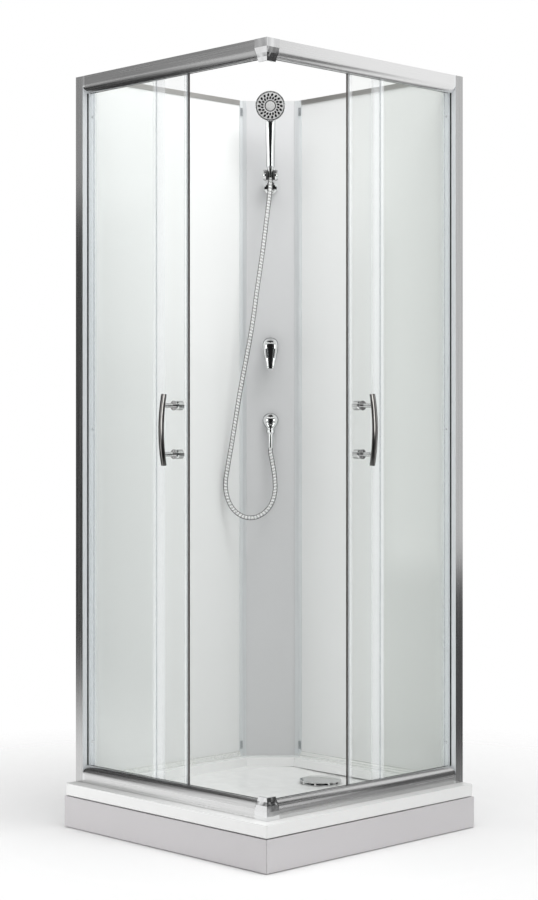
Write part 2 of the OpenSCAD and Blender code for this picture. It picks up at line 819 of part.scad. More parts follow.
// Rollers: grooved wheels on the carriers' axles
module roller(which, top) {
    color(plastic) on_face() translate([roller_places[which], 0, top ? top_z : rim_z])
        mirror([0, 0, top ? 1 : 0]) translate([0, bead_d - roller_w / 2, roller_v])
            rotate([-90, 0, 0]) rotate_extrude() difference() {
                translate([axle_r + run_gap, 0])
                    square([roller_r - axle_r - run_gap, roller_w]);
                translate([roller_rise, roller_w / 2]) circle(bead_r + pass_gap / 2, $fn = 32);
            }
}
module roller_top_left_lead() { roller(0, true); }
module roller_top_left_trail() { roller(1, true); }
module roller_bottom_left_lead() { roller(0, false); }
module roller_bottom_left_trail() { roller(1, false); }
module roller_top_right_lead() { right_side() roller(0, true); }
module roller_top_right_trail() { right_side() roller(1, true); }
module roller_bottom_right_lead() { right_side() roller(0, false); }
module roller_bottom_right_trail() { right_side() roller(1, false); }

// Back walls with their top and sill profiles
trim_edge = column_c + column_leg / 2 - column_leg;
module back_panel_left() {
    from = -face + post_d - groove + 1;
    to = trim_edge - 3;
    color(white_glass) translate([-inner - back_t, from, rim_z + trim_t])
        cube([back_t, to - from, back_top - rim_z - 2 * trim_t]);
}
module back_panel_right() { right_side() back_panel_left(); }
module channel(width, height, bottom_t) {
    difference() {
        translate([-width / 2, 0]) square([width, height]);
        translate([-back_t / 2, bottom_t]) square([back_t, height]);
    }
}
module back_top_profiles() {
    from = -face + post_d;
    color(brushed) both_sides()
        translate([-inner - back_t / 2, trim_edge - trim_w, back_top]) rotate([90, 180, 0])
            linear_extrude(trim_edge - trim_w - from) channel(back_t + 2 * trim_t, cap_h, trim_t);
}
module back_sills() {
    from = -face + post_d;
    nose = 6;
    color(silver) both_sides()
        translate([-inner - back_t / 2, trim_edge - trim_w, rim_z]) rotate([90, 0, 0])
            linear_extrude(trim_edge - trim_w - from) union() {
                channel(back_t + 2 * trim_t, sill_h, trim_t);
                polygon([
                    [back_t / 2 + trim_t - eps, 0], [back_t / 2 + trim_t + nose, 0],
                    [back_t / 2 + trim_t + nose, 2], [back_t / 2 + trim_t - eps, sill_h * 0.75]
                ]);
            }
}

// Corner column: a flat panel between two upright profiles
module column_panel() {
    slot = trim_w - trim_t;
    edge = column_w / 2 - trim_w + slot - 2;
    color(panel_grey) on_column() difference() {
        translate([-column_t, -edge, rim_z]) cube([column_t, 2 * edge, back_top - rim_z]);
        translate([-column_t - 1, 0, mixer_z]) rod_x(neck_r + bolt_gap, column_t + 2);
        translate([-column_t - 1, 0, outlet_z]) rod_x(link_r + bolt_gap, column_t + 2);
    }
}
module column_profiles() {
    color(silver) both_sides() translate([0, 0, rim_z]) linear_extrude(back_top - rim_z)
        difference() {
            union() {
                translate([-inner - back_t - trim_t, trim_edge - trim_w])
                    square([back_t + 2 * trim_t, trim_w]);
                translate([-column_c, column_c]) rotate(-45)
                    translate([-column_t - trim_t, -column_w / 2 - 3])
                        square([column_t + 2 * trim_t, trim_w + 3]);
            }
            translate([-inner - back_t, trim_edge - trim_w - 1]) square([back_t, trim_w - 2]);
            translate([-column_c, column_c]) rotate(-45)
                translate([-column_t, -column_w / 2 + trim_t]) square([column_t, trim_w]);
        }
}
module panel_clips() {
    clip_w = 8;
    clip_h = 24;
    clip_t = 2;
    color(zinc) both_sides() for (z = [rim_z + 21, back_top - 46])
        translate([-inner + trim_t, trim_edge - trim_w + 2, z]) {
            cube([clip_t, clip_w, clip_h]);
            translate([clip_t - eps, clip_w / 2, clip_h / 2]) rod_x(2.5, 1.5);
        }
}

// Mixer: wall plate, concealed body, turning hub and lifting lever
neck_r = 19;
body_back = 62;
block_h = 56;
module mixer_plate() {
    color(chrome) on_column(mixer_z) rotate([0, 90, 0]) rotate_extrude() polygon([
        [neck_r + pass_gap, 0], [plate_r, 0], [plate_r, plate_t / 3],
        [plate_r - 3, plate_t * 0.8], [neck_r + 4, plate_t], [neck_r + pass_gap, plate_t]
    ]);
}
module mixer_body() {
    depth = 44;
    block_w = 46;
    color(brass) on_column(mixer_z) {
        translate([-body_back, -block_w / 2, -block_h / 2]) cube([depth, block_w, block_h]);
        translate([-body_back + depth - eps, 0, 0])
            rod_x(neck_r, body_back - depth + plate_t - 2);
        for (s = [-1, 1]) translate([-body_back + depth / 2, s * block_w / 2, 0])
            rotate([-90 * s, 0, 0]) translate([0, 0, -eps]) cylinder(r = inlet_r, h = inlet_l);
    }
}
hub_r = 15;
pin_r = 2.5;
module mixer_hub() {
    color(chrome) on_column(mixer_z) {
        translate([plate_t - 2 + pass_gap, 0, 0]) rod_x(hub_r, pivot_out - plate_t - 4);
        translate([plate_t, 0, 0]) rod_x(9, pivot_out - plate_t);
        translate([pivot_out, -cap_r + 2, 0]) rod_y(pin_r, 2 * cap_r - 4);
    }
}

// Lever: a hollow cap over the hub, drawn out below into a bell that bows outwards.
// The bell is what its outline from the front and its outline from the side share.
module mixer_lever() {
    cap_t = 3;
    back_cut = 7;
    waist = 4.5;
    tip_t = 9;
    steps = 12;
    tip_r = lever_tip / 2;
    bell_l = lever_l - tip_r;
    wide = cap_r * 0.93;
    function half_w(t) = tip_r * 0.99 + (wide - tip_r) * (1 + cos(180 * pow(t, 0.75))) / 2;
    function front(t) = pivot_out + cap_r - waist * sin(180 * t);
    function back(t) = pivot_out - back_cut + (cap_r + back_cut - tip_t) * pow(t, 0.8);
    share = [for (k = [0 : steps]) k / steps];
    module front_outline() {
        polygon(concat(
            [for (t = share) [half_w(t), -bell_l * t]],
            [for (k = [steps : -1 : 0]) [-half_w(share[k]), -bell_l * share[k]]]
        ));
        translate([0, -bell_l]) circle(tip_r);
    }
    module side_outline() {
        polygon(concat(
            [for (t = share) [front(t), -lever_l * t]],
            [for (k = [steps : -1 : 0]) [back(share[k]), -lever_l * share[k]]]
        ));
    }
    color(chrome) on_column(mixer_z) difference() {
        union() {
            translate([pivot_out, 0, 0]) rotate([90, 0, 0]) sphere(cap_r);
            intersection() {
                along_x(pivot_out + 2 * cap_r) front_outline();
                translate([0, cap_r, 0]) rotate([90, 0, 0]) linear_extrude(2 * cap_r) side_outline();
            }
        }
        translate([pivot_out, 0, 0]) rotate([90, 0, 0]) sphere(cap_r - cap_t);
        translate([pivot_out - 2 * cap_r - back_cut, -2 * cap_r, -far / 2])
            cube([2 * cap_r, 4 * cap_r, far]);
        translate([pivot_out, -2 * cap_r, 0]) rod_y(pin_r + run_gap, 4 * cap_r);
    }
}

// Pipe from the mixer to the hose outlet, behind the column panel
module link_pipe() {
    link_x = -26;
    pipe_t = 1.5;
    module elbow(r, end) {
        cylinder(r = r, h = mixer_z - outlet_z - block_h / 2 + end);
        sphere(r);
        rod_x(r, -link_x + end);
    }
    color(brass) on_column(outlet_z) translate([link_x, 0, 0]) difference() {
        elbow(link_r, 0);
        elbow(link_r - pipe_t, 1);
    }
}

// Hose outlet: a dome on the column with a nipple that points down
module hose_outlet() {
    nipple_r = 9;
    base_t = 10;
    color(chrome) on_column(outlet_z) difference() {
        union() {
            rod_x(dome_r, base_t);
            translate([base_t, 0, 0]) intersection() {
                sphere(dome_r);
                translate([-eps, -dome_r, -dome_r]) cube([2 * dome_r, 2 * dome_r, 2 * dome_r]);
            }
            translate([nipple_out, 0, -nipple_drop])
                cylinder(r1 = nipple_r, r2 = nipple_r * 1.8, h = nipple_drop);
        }
        translate([nipple_out, 0, -nipple_drop - 1]) cylinder(r = hose_bore, h = nipple_drop + 1);
        translate([-1, 0, 0]) rod_x(hose_bore, nipple_out + 1);
    }
}
module outlet_nut() {
    color(chrome) on_column(nut_top - outlet_nut_h) translate([nipple_out, 0, 0]) difference() {
        union() {
            rotate_extrude() polygon([
                [0, 0], [outlet_nut_r * 0.75, 0], [outlet_nut_r, outlet_nut_h * 0.4],
                [outlet_nut_r, outlet_nut_h], [0, outlet_nut_h]
            ]);
            translate([0, 0, -ferrule_l]) cylinder(r = ferrule_r, h = ferrule_l + eps);
        }
        translate([0, 0, -ferrule_l - 1]) cylinder(r = hose_bore, h = far);
    }
}

// Hose: one ribbed tube with its bore, swept along the route
function spline(a, b, c, d, t) = 0.5 * (
    2 * b + (c - a) * t + (2 * a - 5 * b + 4 * c - d) * t * t
    + (3 * b - a - 3 * c + d) * t * t * t);
ROUTE_STEPS = 10;
function route_dense() = let (n = len(ROUTE)) [
    for (i = [0 : n - 2], k = [0 : ROUTE_STEPS - 1]) let (
        a = i == 0 ? 2 * ROUTE[0] - ROUTE[1] : ROUTE[i - 1],
        d = i == n - 2 ? 2 * ROUTE[n - 1] - ROUTE[n - 2] : ROUTE[i + 2]
    ) spline(a, ROUTE[i], ROUTE[i + 1], d, k / ROUTE_STEPS),
    ROUTE[n - 1]
];
function run_lengths(points) = [
    for (i = 0, s = 0; i < len(points);
         s = s + (i + 1 < len(points) ? norm(points[i + 1] - points[i]) : 0), i = i + 1) s
];
function hose_rings(points, runs, count, radius) = let (
    last = len(points) - 1,
    xs = [for (i = [0 : last]) [runs[i], points[i].x]],
    ys = [for (i = [0 : last]) [runs[i], points[i].y]],
    zs = [for (i = [0 : last]) [runs[i], points[i].z]],
    reach = hose_r / 2
) [
    for (k = [0 : count]) let (
        s = runs[last] * k / count,
        at = [lookup(s, xs), lookup(s, ys), lookup(s, zs)],
        a = max(0, s - reach),
        b = min(runs[last], s + reach),
        run = k == 0 ? ROUTE[1] - ROUTE[0]
            : k == count ? ROUTE[len(ROUTE) - 1] - ROUTE[len(ROUTE) - 2]
            : [lookup(b, xs) - lookup(a, xs), lookup(b, ys) - lookup(a, ys),
               lookup(b, zs) - lookup(a, zs)],
        along = run / norm(run),
        side = cross(along, [1, 0, 0]) / norm(cross(along, [1, 0, 0])),
        up = cross(side, along),
        r = radius[k % len(radius)]
    ) for (j = [0 : HOSE_SIDES - 1]) let (t = (j + 0.5) * 360 / HOSE_SIDES)
        at + r * (cos(t) * side + sin(t) * up)
];
HOSE_SIDES = 8;
BORE_RINGS = 72;
module shower_hose() {
    points = route_dense();
    runs = run_lengths(points);
    n = HOSE_SIDES;
    outer_rings = 2 * hose_ribs;
    skin = hose_rings(points, runs, outer_rings, [hose_valley, hose_r]);
    bore = hose_rings(points, runs, BORE_RINGS, [hose_bore]);
    base = len(skin);
    top = outer_rings * n;
    bore_top = base + BORE_RINGS * n;
    echo(hose_length = runs[len(runs) - 1]);
    color(chrome) on_column() polyhedron(
        points = concat(skin, bore),
        faces = concat(
            [for (k = [0 : outer_rings - 1], j = [0 : n - 1], half_face = [0, 1]) let (
                a = k * n + j, b = k * n + (j + 1) % n)
                half_face == 0 ? [a, b, b + n] : [a, b + n, a + n]],
            [for (k = [0 : BORE_RINGS - 1], j = [0 : n - 1], half_face = [0, 1]) let (
                a = base + k * n + j, b = base + k * n + (j + 1) % n)
                half_face == 0 ? [a, b + n, b] : [a, a + n, b + n]],
            [for (j = [0 : n - 1], half_face = [0, 1]) let (i = (j + 1) % n)
                half_face == 0 ? [j, base + j, base + i] : [j, base + i, i]],
            [for (j = [0 : n - 1], half_face = [0, 1]) let (i = (j + 1) % n)
                half_face == 0 ? [top + j, bore_top + i, bore_top + j]
                               : [top + j, top + i, bore_top + i]]
        )
    );
}

// Handset holder: a wall base with two cheeks, and a jaw that swivels between them
trunnion_r = 5;
module holder_base() {
    cheek_t = (cheek_span - jaw_w) / 2 - pass_gap;
    base_t = 4;
    dome = 8;
    dome_r = (base_r * base_r + dome * dome) / (2 * dome);
    groove = 1.2;
    color(chrome) on_column(holder_z) difference() {
        union() {
            translate([0, 0, -base_drop]) rotate([0, 90, 0]) rotate_extrude() {
                square([base_r, base_t]);
                intersection() {
                    translate([0, base_t + dome - dome_r]) circle(dome_r);
                    translate([0, base_t]) square([base_r, dome]);
                }
            }
            for (s = [-1, 1]) {
                translate([holder_out, s * (cheek_span / 2 - cheek_t), 0])
                    rotate([-90 * s, 0, 0]) rotate_extrude() polygon([
                        [0, 0], [cheek_r, 0], [cheek_r, cheek_t * 0.3],
                        [cheek_r - groove, cheek_t * 0.35], [cheek_r - groove, cheek_t * 0.5],
                        [cheek_r - 0.4, cheek_t * 0.55], [cheek_r - 1.4, cheek_t * 0.85],
                        [cheek_r - 3, cheek_t], [0, cheek_t]
                    ]);
                hull() {
                    translate([0, s * (cheek_span / 2 - cheek_t / 2) - cheek_t / 2,
                               -base_drop - base_r / 2]) cube([2, cheek_t, base_r]);
                    translate([holder_out - cheek_r / 2,
                               s * (cheek_span / 2 - cheek_t / 2) - cheek_t / 2,
                               -cheek_r * 0.8]) cube([2, cheek_t, cheek_r]);
                }
            }
            translate([0, -cheek_span / 2 + 3, -base_drop - 6])
                cube([base_r - 3, cheek_span - 6, 12]);
        }
        translate([holder_out, -cheek_span, 0]) rod_y(trunnion_r + run_gap, 2 * cheek_span);
    }
}
module holder_jaw() {
    slope = (cone_r2 - cone_r1) / cone_l;
    seat_r1 = cone_r1 - slope * (jaw_r - cone_drop) + pass_gap;
    seat_r2 = cone_r1 + slope * (jaw_r + cone_drop) + pass_gap;
    mouth = 2 * hose_r + 1;
    color(plastic) on_handset() difference() {
        union() {
            translate([0, -jaw_w / 2, 0]) rod_y(jaw_r, jaw_w);
            translate([0, -cheek_span / 2 - 1, 0]) rod_y(trunnion_r, cheek_span + 2);
        }
        translate([0, 0, -jaw_r]) cylinder(r1 = seat_r1, r2 = seat_r2, h = 2 * jaw_r);
        translate([0, -mouth / 2, -far / 2]) cube([far, mouth, far]);
    }
}

// Handset: hose nut, a hollow shell, and the face that closes its water chamber
module handset_nut() {
    color(chrome) on_handset() translate([0, 0, -cone_drop]) difference() {
        cylinder(r1 = cone_r1, r2 = cone_r2, h = cone_l);
        translate([0, 0, -1]) cylinder(r = hose_bore, h = cone_l + 2);
    }
}
grip_from = cone_l - cone_drop;
face_seat = 3;
module head_outline(skin = 0) {
    polygon([
        [0, skin], [spray_r * 0.5 - skin / 3, skin], [spray_r * 0.86 - skin, spray_d * 0.35 + skin / 3],
        [spray_r - 1.6 * skin, spray_d * 0.8], [spray_r - 1.6 * skin, spray_d - face_seat],
        [0, spray_d - face_seat]
    ]);
}
module handset_shell() {
    skin = 3;
    color(chrome) difference() {
        union() {
            on_handset() translate([0, 0, grip_from]) rotate_extrude() polygon([
                [0, 0], [grip_r1 - 1.5, 0], [grip_r1, 2], [grip_r2, grip_l], [0, grip_l]
            ]);
            on_handset() hull() {
                translate([0, 0, grip_from + grip_l - 4]) cylinder(r = grip_r2, h = 4, $fn = 32);
                translate([head_out - spray_d / 2 - 6, 0, head_rise - 14])
                    sphere(grip_r2 - 4, $fn = 32);
            }
            on_head() translate([0, 0, -spray_d]) rotate_extrude() {
                head_outline();
                translate([spray_r - face_seat, spray_d / 2]) square([face_seat, spray_d / 2]);
            }
        }
        on_handset() translate([0, 0, grip_from - eps])
            cylinder(r = grip_r1 - skin - 1, h = head_rise - spray_r * 0.7 - grip_from);
        on_head() translate([0, 0, -spray_d]) rotate_extrude() {
            head_outline(skin);
            translate([0, spray_d - face_seat - eps]) square([spray_r - 1.6 * skin, eps * 2]);
        }
    }
}
module handset_face() {
    face_r = spray_r - face_seat;
    hub = spray_r * 0.36;
    color(panel_grey) on_head() translate([0, 0, -face_seat]) rotate_extrude() polygon([
        [0, 0], [face_r, 0], [face_r, face_seat], [hub, face_seat], [hub, face_seat / 2],
        [hub - 3, face_seat / 2], [hub - 3, face_seat + 0.4], [0, face_seat + 1]
    ]);
}
module handset_nozzles() {
    stand = 0.6;
    slant = 18;
    // Each ring: share of the head's radius, share of a step, half length, half width
    rings = [[0.54, 0.5, 3.7, 1.9], [0.745, 0, 3.9, 2.4]];
    color(black_rubber) on_head() for (ring = rings, i = [1 : nozzles])
        rotate((i + ring[1]) * 360 / nozzles) translate([spray_r * ring[0], 0, 0]) rotate(slant)
            linear_extrude(stand) {
                reach = ring[2] - ring[3];
                square([2 * reach, 2 * ring[3]], center = true);
                for (end = [-1, 1]) translate([end * reach, 0]) circle(ring[3], $fn = 16);
            }
}

shower_tray();
tray_frame();
levelling_feet();
apron_left();
apron_right();
drain_flange();
drain_trap();
waste_pipe();
drain_cover();
drain_strainer();
back_panel_left();
back_panel_right();
back_top_profiles();
back_sills();
column_panel();
column_profiles();
panel_clips();
post_left();
post_right();
top_rail_left();
top_rail_right();
bottom_rail_left();
bottom_rail_right();
top_corner();
bottom_corner();
rail_ends();
frame_screws();
fixed_glass_left();
fixed_glass_right();
glass_seals();
door_glass_left();
door_handle_left();
door_seal_left();
door_carriers_left();
door_glass_right();
door_handle_right();
door_seal_right();
door_carriers_right();
roller_top_left_lead();
roller_top_left_trail();
roller_bottom_left_lead();
roller_bottom_left_trail();
roller_top_right_lead();
roller_top_right_trail();
roller_bottom_right_lead();
roller_bottom_right_trail();
mixer_plate();
mixer_body();
mixer_hub();
mixer_lever();
link_pipe();
hose_outlet();
outlet_nut();
shower_hose();
holder_base();
holder_jaw();
handset_nut();
handset_shell();
handset_face();
handset_nozzles();
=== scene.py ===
import math

import bmesh
import bpy
import numpy as np
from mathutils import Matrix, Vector


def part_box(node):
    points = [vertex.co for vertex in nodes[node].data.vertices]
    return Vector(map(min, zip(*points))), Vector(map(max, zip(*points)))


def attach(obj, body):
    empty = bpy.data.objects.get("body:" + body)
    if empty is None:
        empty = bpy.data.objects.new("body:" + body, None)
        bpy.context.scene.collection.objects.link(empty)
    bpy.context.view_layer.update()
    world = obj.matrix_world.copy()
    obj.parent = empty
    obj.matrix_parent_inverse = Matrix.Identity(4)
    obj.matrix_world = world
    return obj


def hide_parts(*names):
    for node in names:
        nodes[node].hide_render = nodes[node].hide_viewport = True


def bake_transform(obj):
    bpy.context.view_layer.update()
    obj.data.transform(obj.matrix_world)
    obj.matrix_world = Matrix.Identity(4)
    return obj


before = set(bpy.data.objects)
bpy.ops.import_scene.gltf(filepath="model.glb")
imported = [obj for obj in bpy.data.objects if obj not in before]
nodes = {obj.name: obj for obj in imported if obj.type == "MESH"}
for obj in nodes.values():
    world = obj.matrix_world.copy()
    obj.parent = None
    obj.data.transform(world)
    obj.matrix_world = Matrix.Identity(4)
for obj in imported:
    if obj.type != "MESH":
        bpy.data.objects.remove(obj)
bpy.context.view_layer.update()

scene = bpy.context.scene

# Studio: a level camera in front of the entry corner, at chest height, soft lamps over the
# open top and beside the tray, and a pale floor that fades into a white room.
CAMERA_AZIMUTH = math.radians(45.6)
CAMERA_DISTANCE = 5.222
CAMERA_HEIGHT = 1.094
FOCAL_PIXELS = 1890.0
PICTURE = (538, 900)
HORIZON_PIXEL = 431.0

lens = bpy.data.cameras.new("studio_camera")
lens.sensor_fit = "VERTICAL"
lens.sensor_height = 36.0
lens.lens = FOCAL_PIXELS / PICTURE[1] * lens.sensor_height
lens.shift_y = (HORIZON_PIXEL - PICTURE[1] / 2) / PICTURE[1]
lens.clip_end = 60.0
camera = bpy.data.objects.new("studio_camera", lens)
scene.collection.objects.link(camera)
camera.location = (
    CAMERA_DISTANCE * math.sin(CAMERA_AZIMUTH),
    -CAMERA_DISTANCE * math.cos(CAMERA_AZIMUTH),
    CAMERA_HEIGHT,
)
camera.rotation_euler = (math.pi / 2, 0, CAMERA_AZIMUTH)
scene.camera = camera
scene.view_settings.view_transform = "Standard"
scene.cycles.transparent_max_bounces = 24
scene.cycles.max_bounces = 16


class Value:
    """A socket of a material. Arithmetic on it adds the Math node that works it out."""

    def __init__(self, finish, socket):
        self.finish, self.socket = finish, socket

    def _math(self, operation, *values):
        return self.finish.add("ShaderNodeMath", {"operation": operation}, *values)

    def __add__(self, other):
        return self._math("ADD", self, other)

    __radd__ = __add__

    def __sub__(self, other):
        return self._math("SUBTRACT", self, other)

    def __rsub__(self, other):
        return self._math("SUBTRACT", other, self)

    def __mul__(self, other):
        return self._math("MULTIPLY", self, other)

    __rmul__ = __mul__

    def __pow__(self, other):
        return self._math("POWER", self, other)

    def __abs__(self):
        return self._math("ABSOLUTE", self)

    def sine(self):
        return self._math("SINE", self)

    def or_more(self, other):
        """The higher one of two values."""
        return self._math("MAXIMUM", self, other)


class Finish:
    """A material of this cabin: add() puts one node in its tree, and shader is its main one."""

    def __init__(self, name, tree=None, **constants):
        if tree is None:
            self.material = bpy.data.materials.new(name)
            self.material.use_nodes = True
            tree = self.material.node_tree
        self.tree = tree
        kinds = {node.type: node for node in tree.nodes}
        self.output = kinds.get("OUTPUT_MATERIAL")
        self.shader = kinds.get("BSDF_PRINCIPLED") or kinds.get("BACKGROUND")
        self.set(**constants)

    def feed(self, socket, value):
        """Links a value to a socket, or writes a number or a colour into it."""
        if isinstance(value, Value):
            self.tree.links.new(value.socket, socket)
        elif isinstance(value, (tuple, list)) and len(value) == 3 and socket.type == "RGBA":
            socket.default_value = (*value, 1.0)
        else:
            socket.default_value = value

    def add(self, kind, settings=(), *values, out=0, **sockets):
        """Adds a node of that kind. Its settings come first, because they decide which of its
        sockets are in use. The values go to those in their order, and the rest by name."""
        node = self.tree.nodes.new(kind)
        for key, value in dict(settings).items():
            setattr(node, key, value)
        for socket, value in zip([each for each in node.inputs if each.enabled], values):
            self.feed(socket, value)
        self.fill(node, sockets)
        return Value(self, node.outputs[out])

    def fill(self, node, sockets):
        """Feeds sockets by name: base_color is the socket Base Color."""
        for name, value in sockets.items():
            title = name.replace("_", " ").title().replace("Ior", "IOR")
            self.feed(node.inputs[title], value)

    def set(self, **sockets):
        """Feeds sockets of the main shader."""
        self.fill(self.shader, sockets)
        return self

    def mix(self, factor, low, high):
        """A colour that goes from low to high with the factor."""
        return self.add("ShaderNodeMix", {"data_type": "RGBA"}, factor, low, high, out=2)

    def place(self, scale=(1.0, 1.0, 1.0)):
        """Object coordinates, stretched by a Mapping node."""
        here = self.add("ShaderNodeTexCoord", out=3)
        return self.add("ShaderNodeMapping", {}, here, Scale=tuple(scale))

    def axes(self, vector):
        """The x, y and z of a vector."""
        x = self.add("ShaderNodeSeparateXYZ", {}, vector)
        return [Value(self, socket) for socket in x.socket.node.outputs]

    def normal(self):
        """The way that a face looks, in the piece's own axes."""
        return self.add("ShaderNodeTexCoord", out=1)

    def facing(self, *normal):
        """0 where a face looks at the camera, rising to 1 at the outline."""
        return self.add("ShaderNodeLayerWeight", {}, 0.5, *normal, out=1)

    def noise(self, scale, detail=2.0, stretch=(1.0, 1.0, 1.0)):
        """Clouds on the piece, scale of them to a metre, stretched along its axes."""
        return self.add(
            "ShaderNodeTexNoise", {}, Vector=self.place(stretch), Scale=scale, Detail=detail)

    def span(self, value, low, high, to_low=0.0, to_high=1.0):
        """value moved from low..high to to_low..to_high, and held between those."""
        return self.add("ShaderNodeMapRange", {}, value, low, high, to_low, to_high)

    def bump(self, height, strength, distance):
        """A skin that rises by up to the distance with the height."""
        return self.add(
            "ShaderNodeBump", {}, Strength=strength, Distance=distance, Height=height)

    def wear(self, *names):
        """Puts this finish on CAD nodes."""
        for name in names:
            for place in nodes[name].material_slots:
                place.material = self.material


def grey(level):
    """A colour with the same level of red, green and blue."""
    return (level, level, level)


# World: white to the camera and to what mirrors or shows it. To the rest it is a plainer
# light, ROOM_LIGHT (1 + TILT_X x + TILT_Y y) in the direction (x, y), so that it is a
# little stronger from the right.
world = bpy.data.worlds.new("studio_world")
scene.world = world
world.use_nodes = True
room = Finish("room", tree=world.node_tree)
ROOM_LIGHT, TILT_X, TILT_Y = 0.66, 0.2, 0.18
to_camera, mirrored, let_through = (
    room.add("ShaderNodeLightPath", out=f"Is {kind} Ray")
    for kind in ("Camera", "Glossy", "Transmission"))
showing = to_camera.or_more(mirrored.or_more(let_through))
east, north, _ = room.axes(room.add("ShaderNodeTexCoord"))
tilt = east * TILT_X + north * TILT_Y + 1.0
room.set(color=grey(1.0), strength=tilt * ROOM_LIGHT * (1.0 - showing) + showing)

# Floor: a pale disc under the cabin. It takes the cabin's soft shadow and fades out into
# the white room from FADE_FROM to FADE_TO, measured from the middle.
FLOOR_RADIUS, FLOOR_RINGS, FLOOR_SIDES, FLOOR_HEIGHT = 3.2, 24, 96, -0.0005
FADE_FROM, FADE_TO = 0.75, 1.9


def mesh_piece(name, points, faces, smooth=True):
    """A mesh of points and faces, with its doubled points merged and its faces outwards."""
    mesh = bpy.data.meshes.new(name)
    mesh.from_pydata(points.reshape(-1, 3).tolist(), [], faces)
    shell = bmesh.new()
    shell.from_mesh(mesh)
    bmesh.ops.remove_doubles(shell, verts=shell.verts, dist=1e-6)
    bmesh.ops.recalc_face_normals(shell, faces=shell.faces)
    shell.to_mesh(mesh)
    shell.free()
    if smooth:
        mesh.shade_smooth()
    piece = bpy.data.objects.new(name, mesh)
    scene.collection.objects.link(piece)
    return piece


def grid_faces(rows, columns, closed=False, bottom=False, top=False):
    """The quads between the points of a grid, each from its point (u, v) round by (u, v + 1)
    and (u + 1, v + 1) to (u + 1, v). closed joins the last column to the first, and bottom
    and top shut the first and the last row with a face."""
    u, v = np.meshgrid(np.arange(rows - 1), np.arange(columns if closed else columns - 1),
                       indexing="ij")
    this_row, next_row, next_v = u * columns, (u + 1) * columns, (v + 1) % columns
    faces = np.stack([this_row + v, this_row + next_v, next_row + next_v, next_row + v],
                     axis=-1).reshape(-1, 4).tolist()
    if bottom:
        faces.append(list(range(columns))[::-1])
    if top:
        faces.append(list(range((rows - 1) * columns, rows * columns)))
    return faces


def grid_piece(name, points, closed=False, caps=False, smooth=True):
    """A mesh over a grid of points, open or with both of its ends shut."""
    faces = grid_faces(*points.shape[:2], closed, caps, caps)
    return mesh_piece(name, points, faces, smooth)


turn = np.linspace(0, 2 * math.pi, FLOOR_SIDES + 1)[:-1]
reach = np.linspace(0.02, FLOOR_RADIUS, FLOOR_RINGS)[:, None]
floor = grid_piece(
    "studio_floor",
    np.stack([reach * np.cos(turn), reach * np.sin(turn),
              np.full((FLOOR_RINGS, FLOOR_SIDES), FLOOR_HEIGHT)], axis=-1),
    closed=True,
)
ground = Finish("studio_floor", roughness=0.9, base_color=grey(0.86))
east, north, _ = ground.axes(ground.place())
fade = ground.span((east * east + north * north) ** 0.5, FADE_FROM, FADE_TO)
open_air = ground.add("ShaderNodeBsdfTransparent")
blend = ground.add(
    "ShaderNodeMixShader", {}, fade, Value(ground, ground.shader.outputs[0]), open_air)
ground.feed(ground.output.inputs["Surface"], blend)
floor.data.materials.append(ground.material)


# Lamps: square softboxes, a large one over the open top, a smaller one high on the right
# that models the walls, and a weak one low on the left for the apron.
def soft_lamp(name, place, aim, side, power):
    """A square lamp at a place, turned to a point. It lights but no mirror shows it."""
    lamp = bpy.data.lights.new(name, "AREA")
    lamp.shape, lamp.size, lamp.energy = "SQUARE", side, power
    holder = bpy.data.objects.new(name, lamp)
    scene.collection.objects.link(holder)
    holder.location = place
    holder.rotation_euler = (Vector(place) - Vector(aim)).to_track_quat("Z", "Y").to_euler()
    holder.visible_glossy = False


soft_lamp("ceiling_lamp", (0.1, -0.3, 4.4), (-0.05, 0.05, 0.5), 2.6, 84.0)
soft_lamp("key_lamp", (1.2, 0.2, 3.6), (-0.4, 0.0, 1.2), 0.9, 26.0)
soft_lamp("side_lamp", (-0.9, -1.9, 0.3), (-0.1, -0.4, 0.15), 0.6, 8.0)


# Cards: sheets hung round the cabin for its chrome and glass to mirror, dark ones that
# give the chrome its contrast and two bright ones that give it glints.
def studio_card(name, points, level):
    """A sheet of one tone, dark or bright, that only mirrors show, on a grid of points.
    Its edges fade out over a sixth of its size: the attribute shade is s^2 (3 - 2s), where
    s rises from 0 at the border to 1."""
    card = grid_piece(name, points, smooth=False)
    u, v = (np.minimum(np.arange(n), np.arange(n)[::-1]) / (n - 1) * 6
            for n in points.shape[:2])
    shade = np.minimum(np.minimum(u[:, None], v[None, :]), 1.0).ravel()
    shade = shade ** 2 * (3 - 2 * shade)
    card.data.attributes.new("shade", "FLOAT", "POINT").data.foreach_set("value", shade)
    paint = Finish(name, roughness=1.0, base_color=grey(0.0), specular_ior_level=0.0)
    paint.set(emission_color=grey(level), emission_strength=1.0,
              alpha=paint.add("ShaderNodeAttribute", {"attribute_name": "shade"}, out=2))
    card.data.materials.append(paint.material)
    card.visible_camera = card.visible_diffuse = card.visible_shadow = False
    card.visible_transmission = False


def card_points(middle, across, upward, steps=25):
    """A flat grid of points: middle + s across + t upward, with s and t from -1 to 1."""
    s = np.linspace(-1, 1, steps)
    return (np.array(middle, float) + s[:, None, None] * np.array(across, float)
            + s[None, :, None] * np.array(upward, float))


def arc_points(radius, start, end, bottom, top, steps=37):
    """A grid of points on an upright cylinder round the cabin, radius (sin turn, -cos turn),
    from one compass angle to another, both measured from the camera's side."""
    turn = CAMERA_AZIMUTH + np.radians(np.linspace(start, end, steps))[:, None]
    height = np.linspace(bottom, top, steps)[None, :]
    return np.stack([radius * np.sin(turn) + 0 * height, -radius * np.cos(turn) + 0 * height,
                     0 * turn + height], axis=-1)


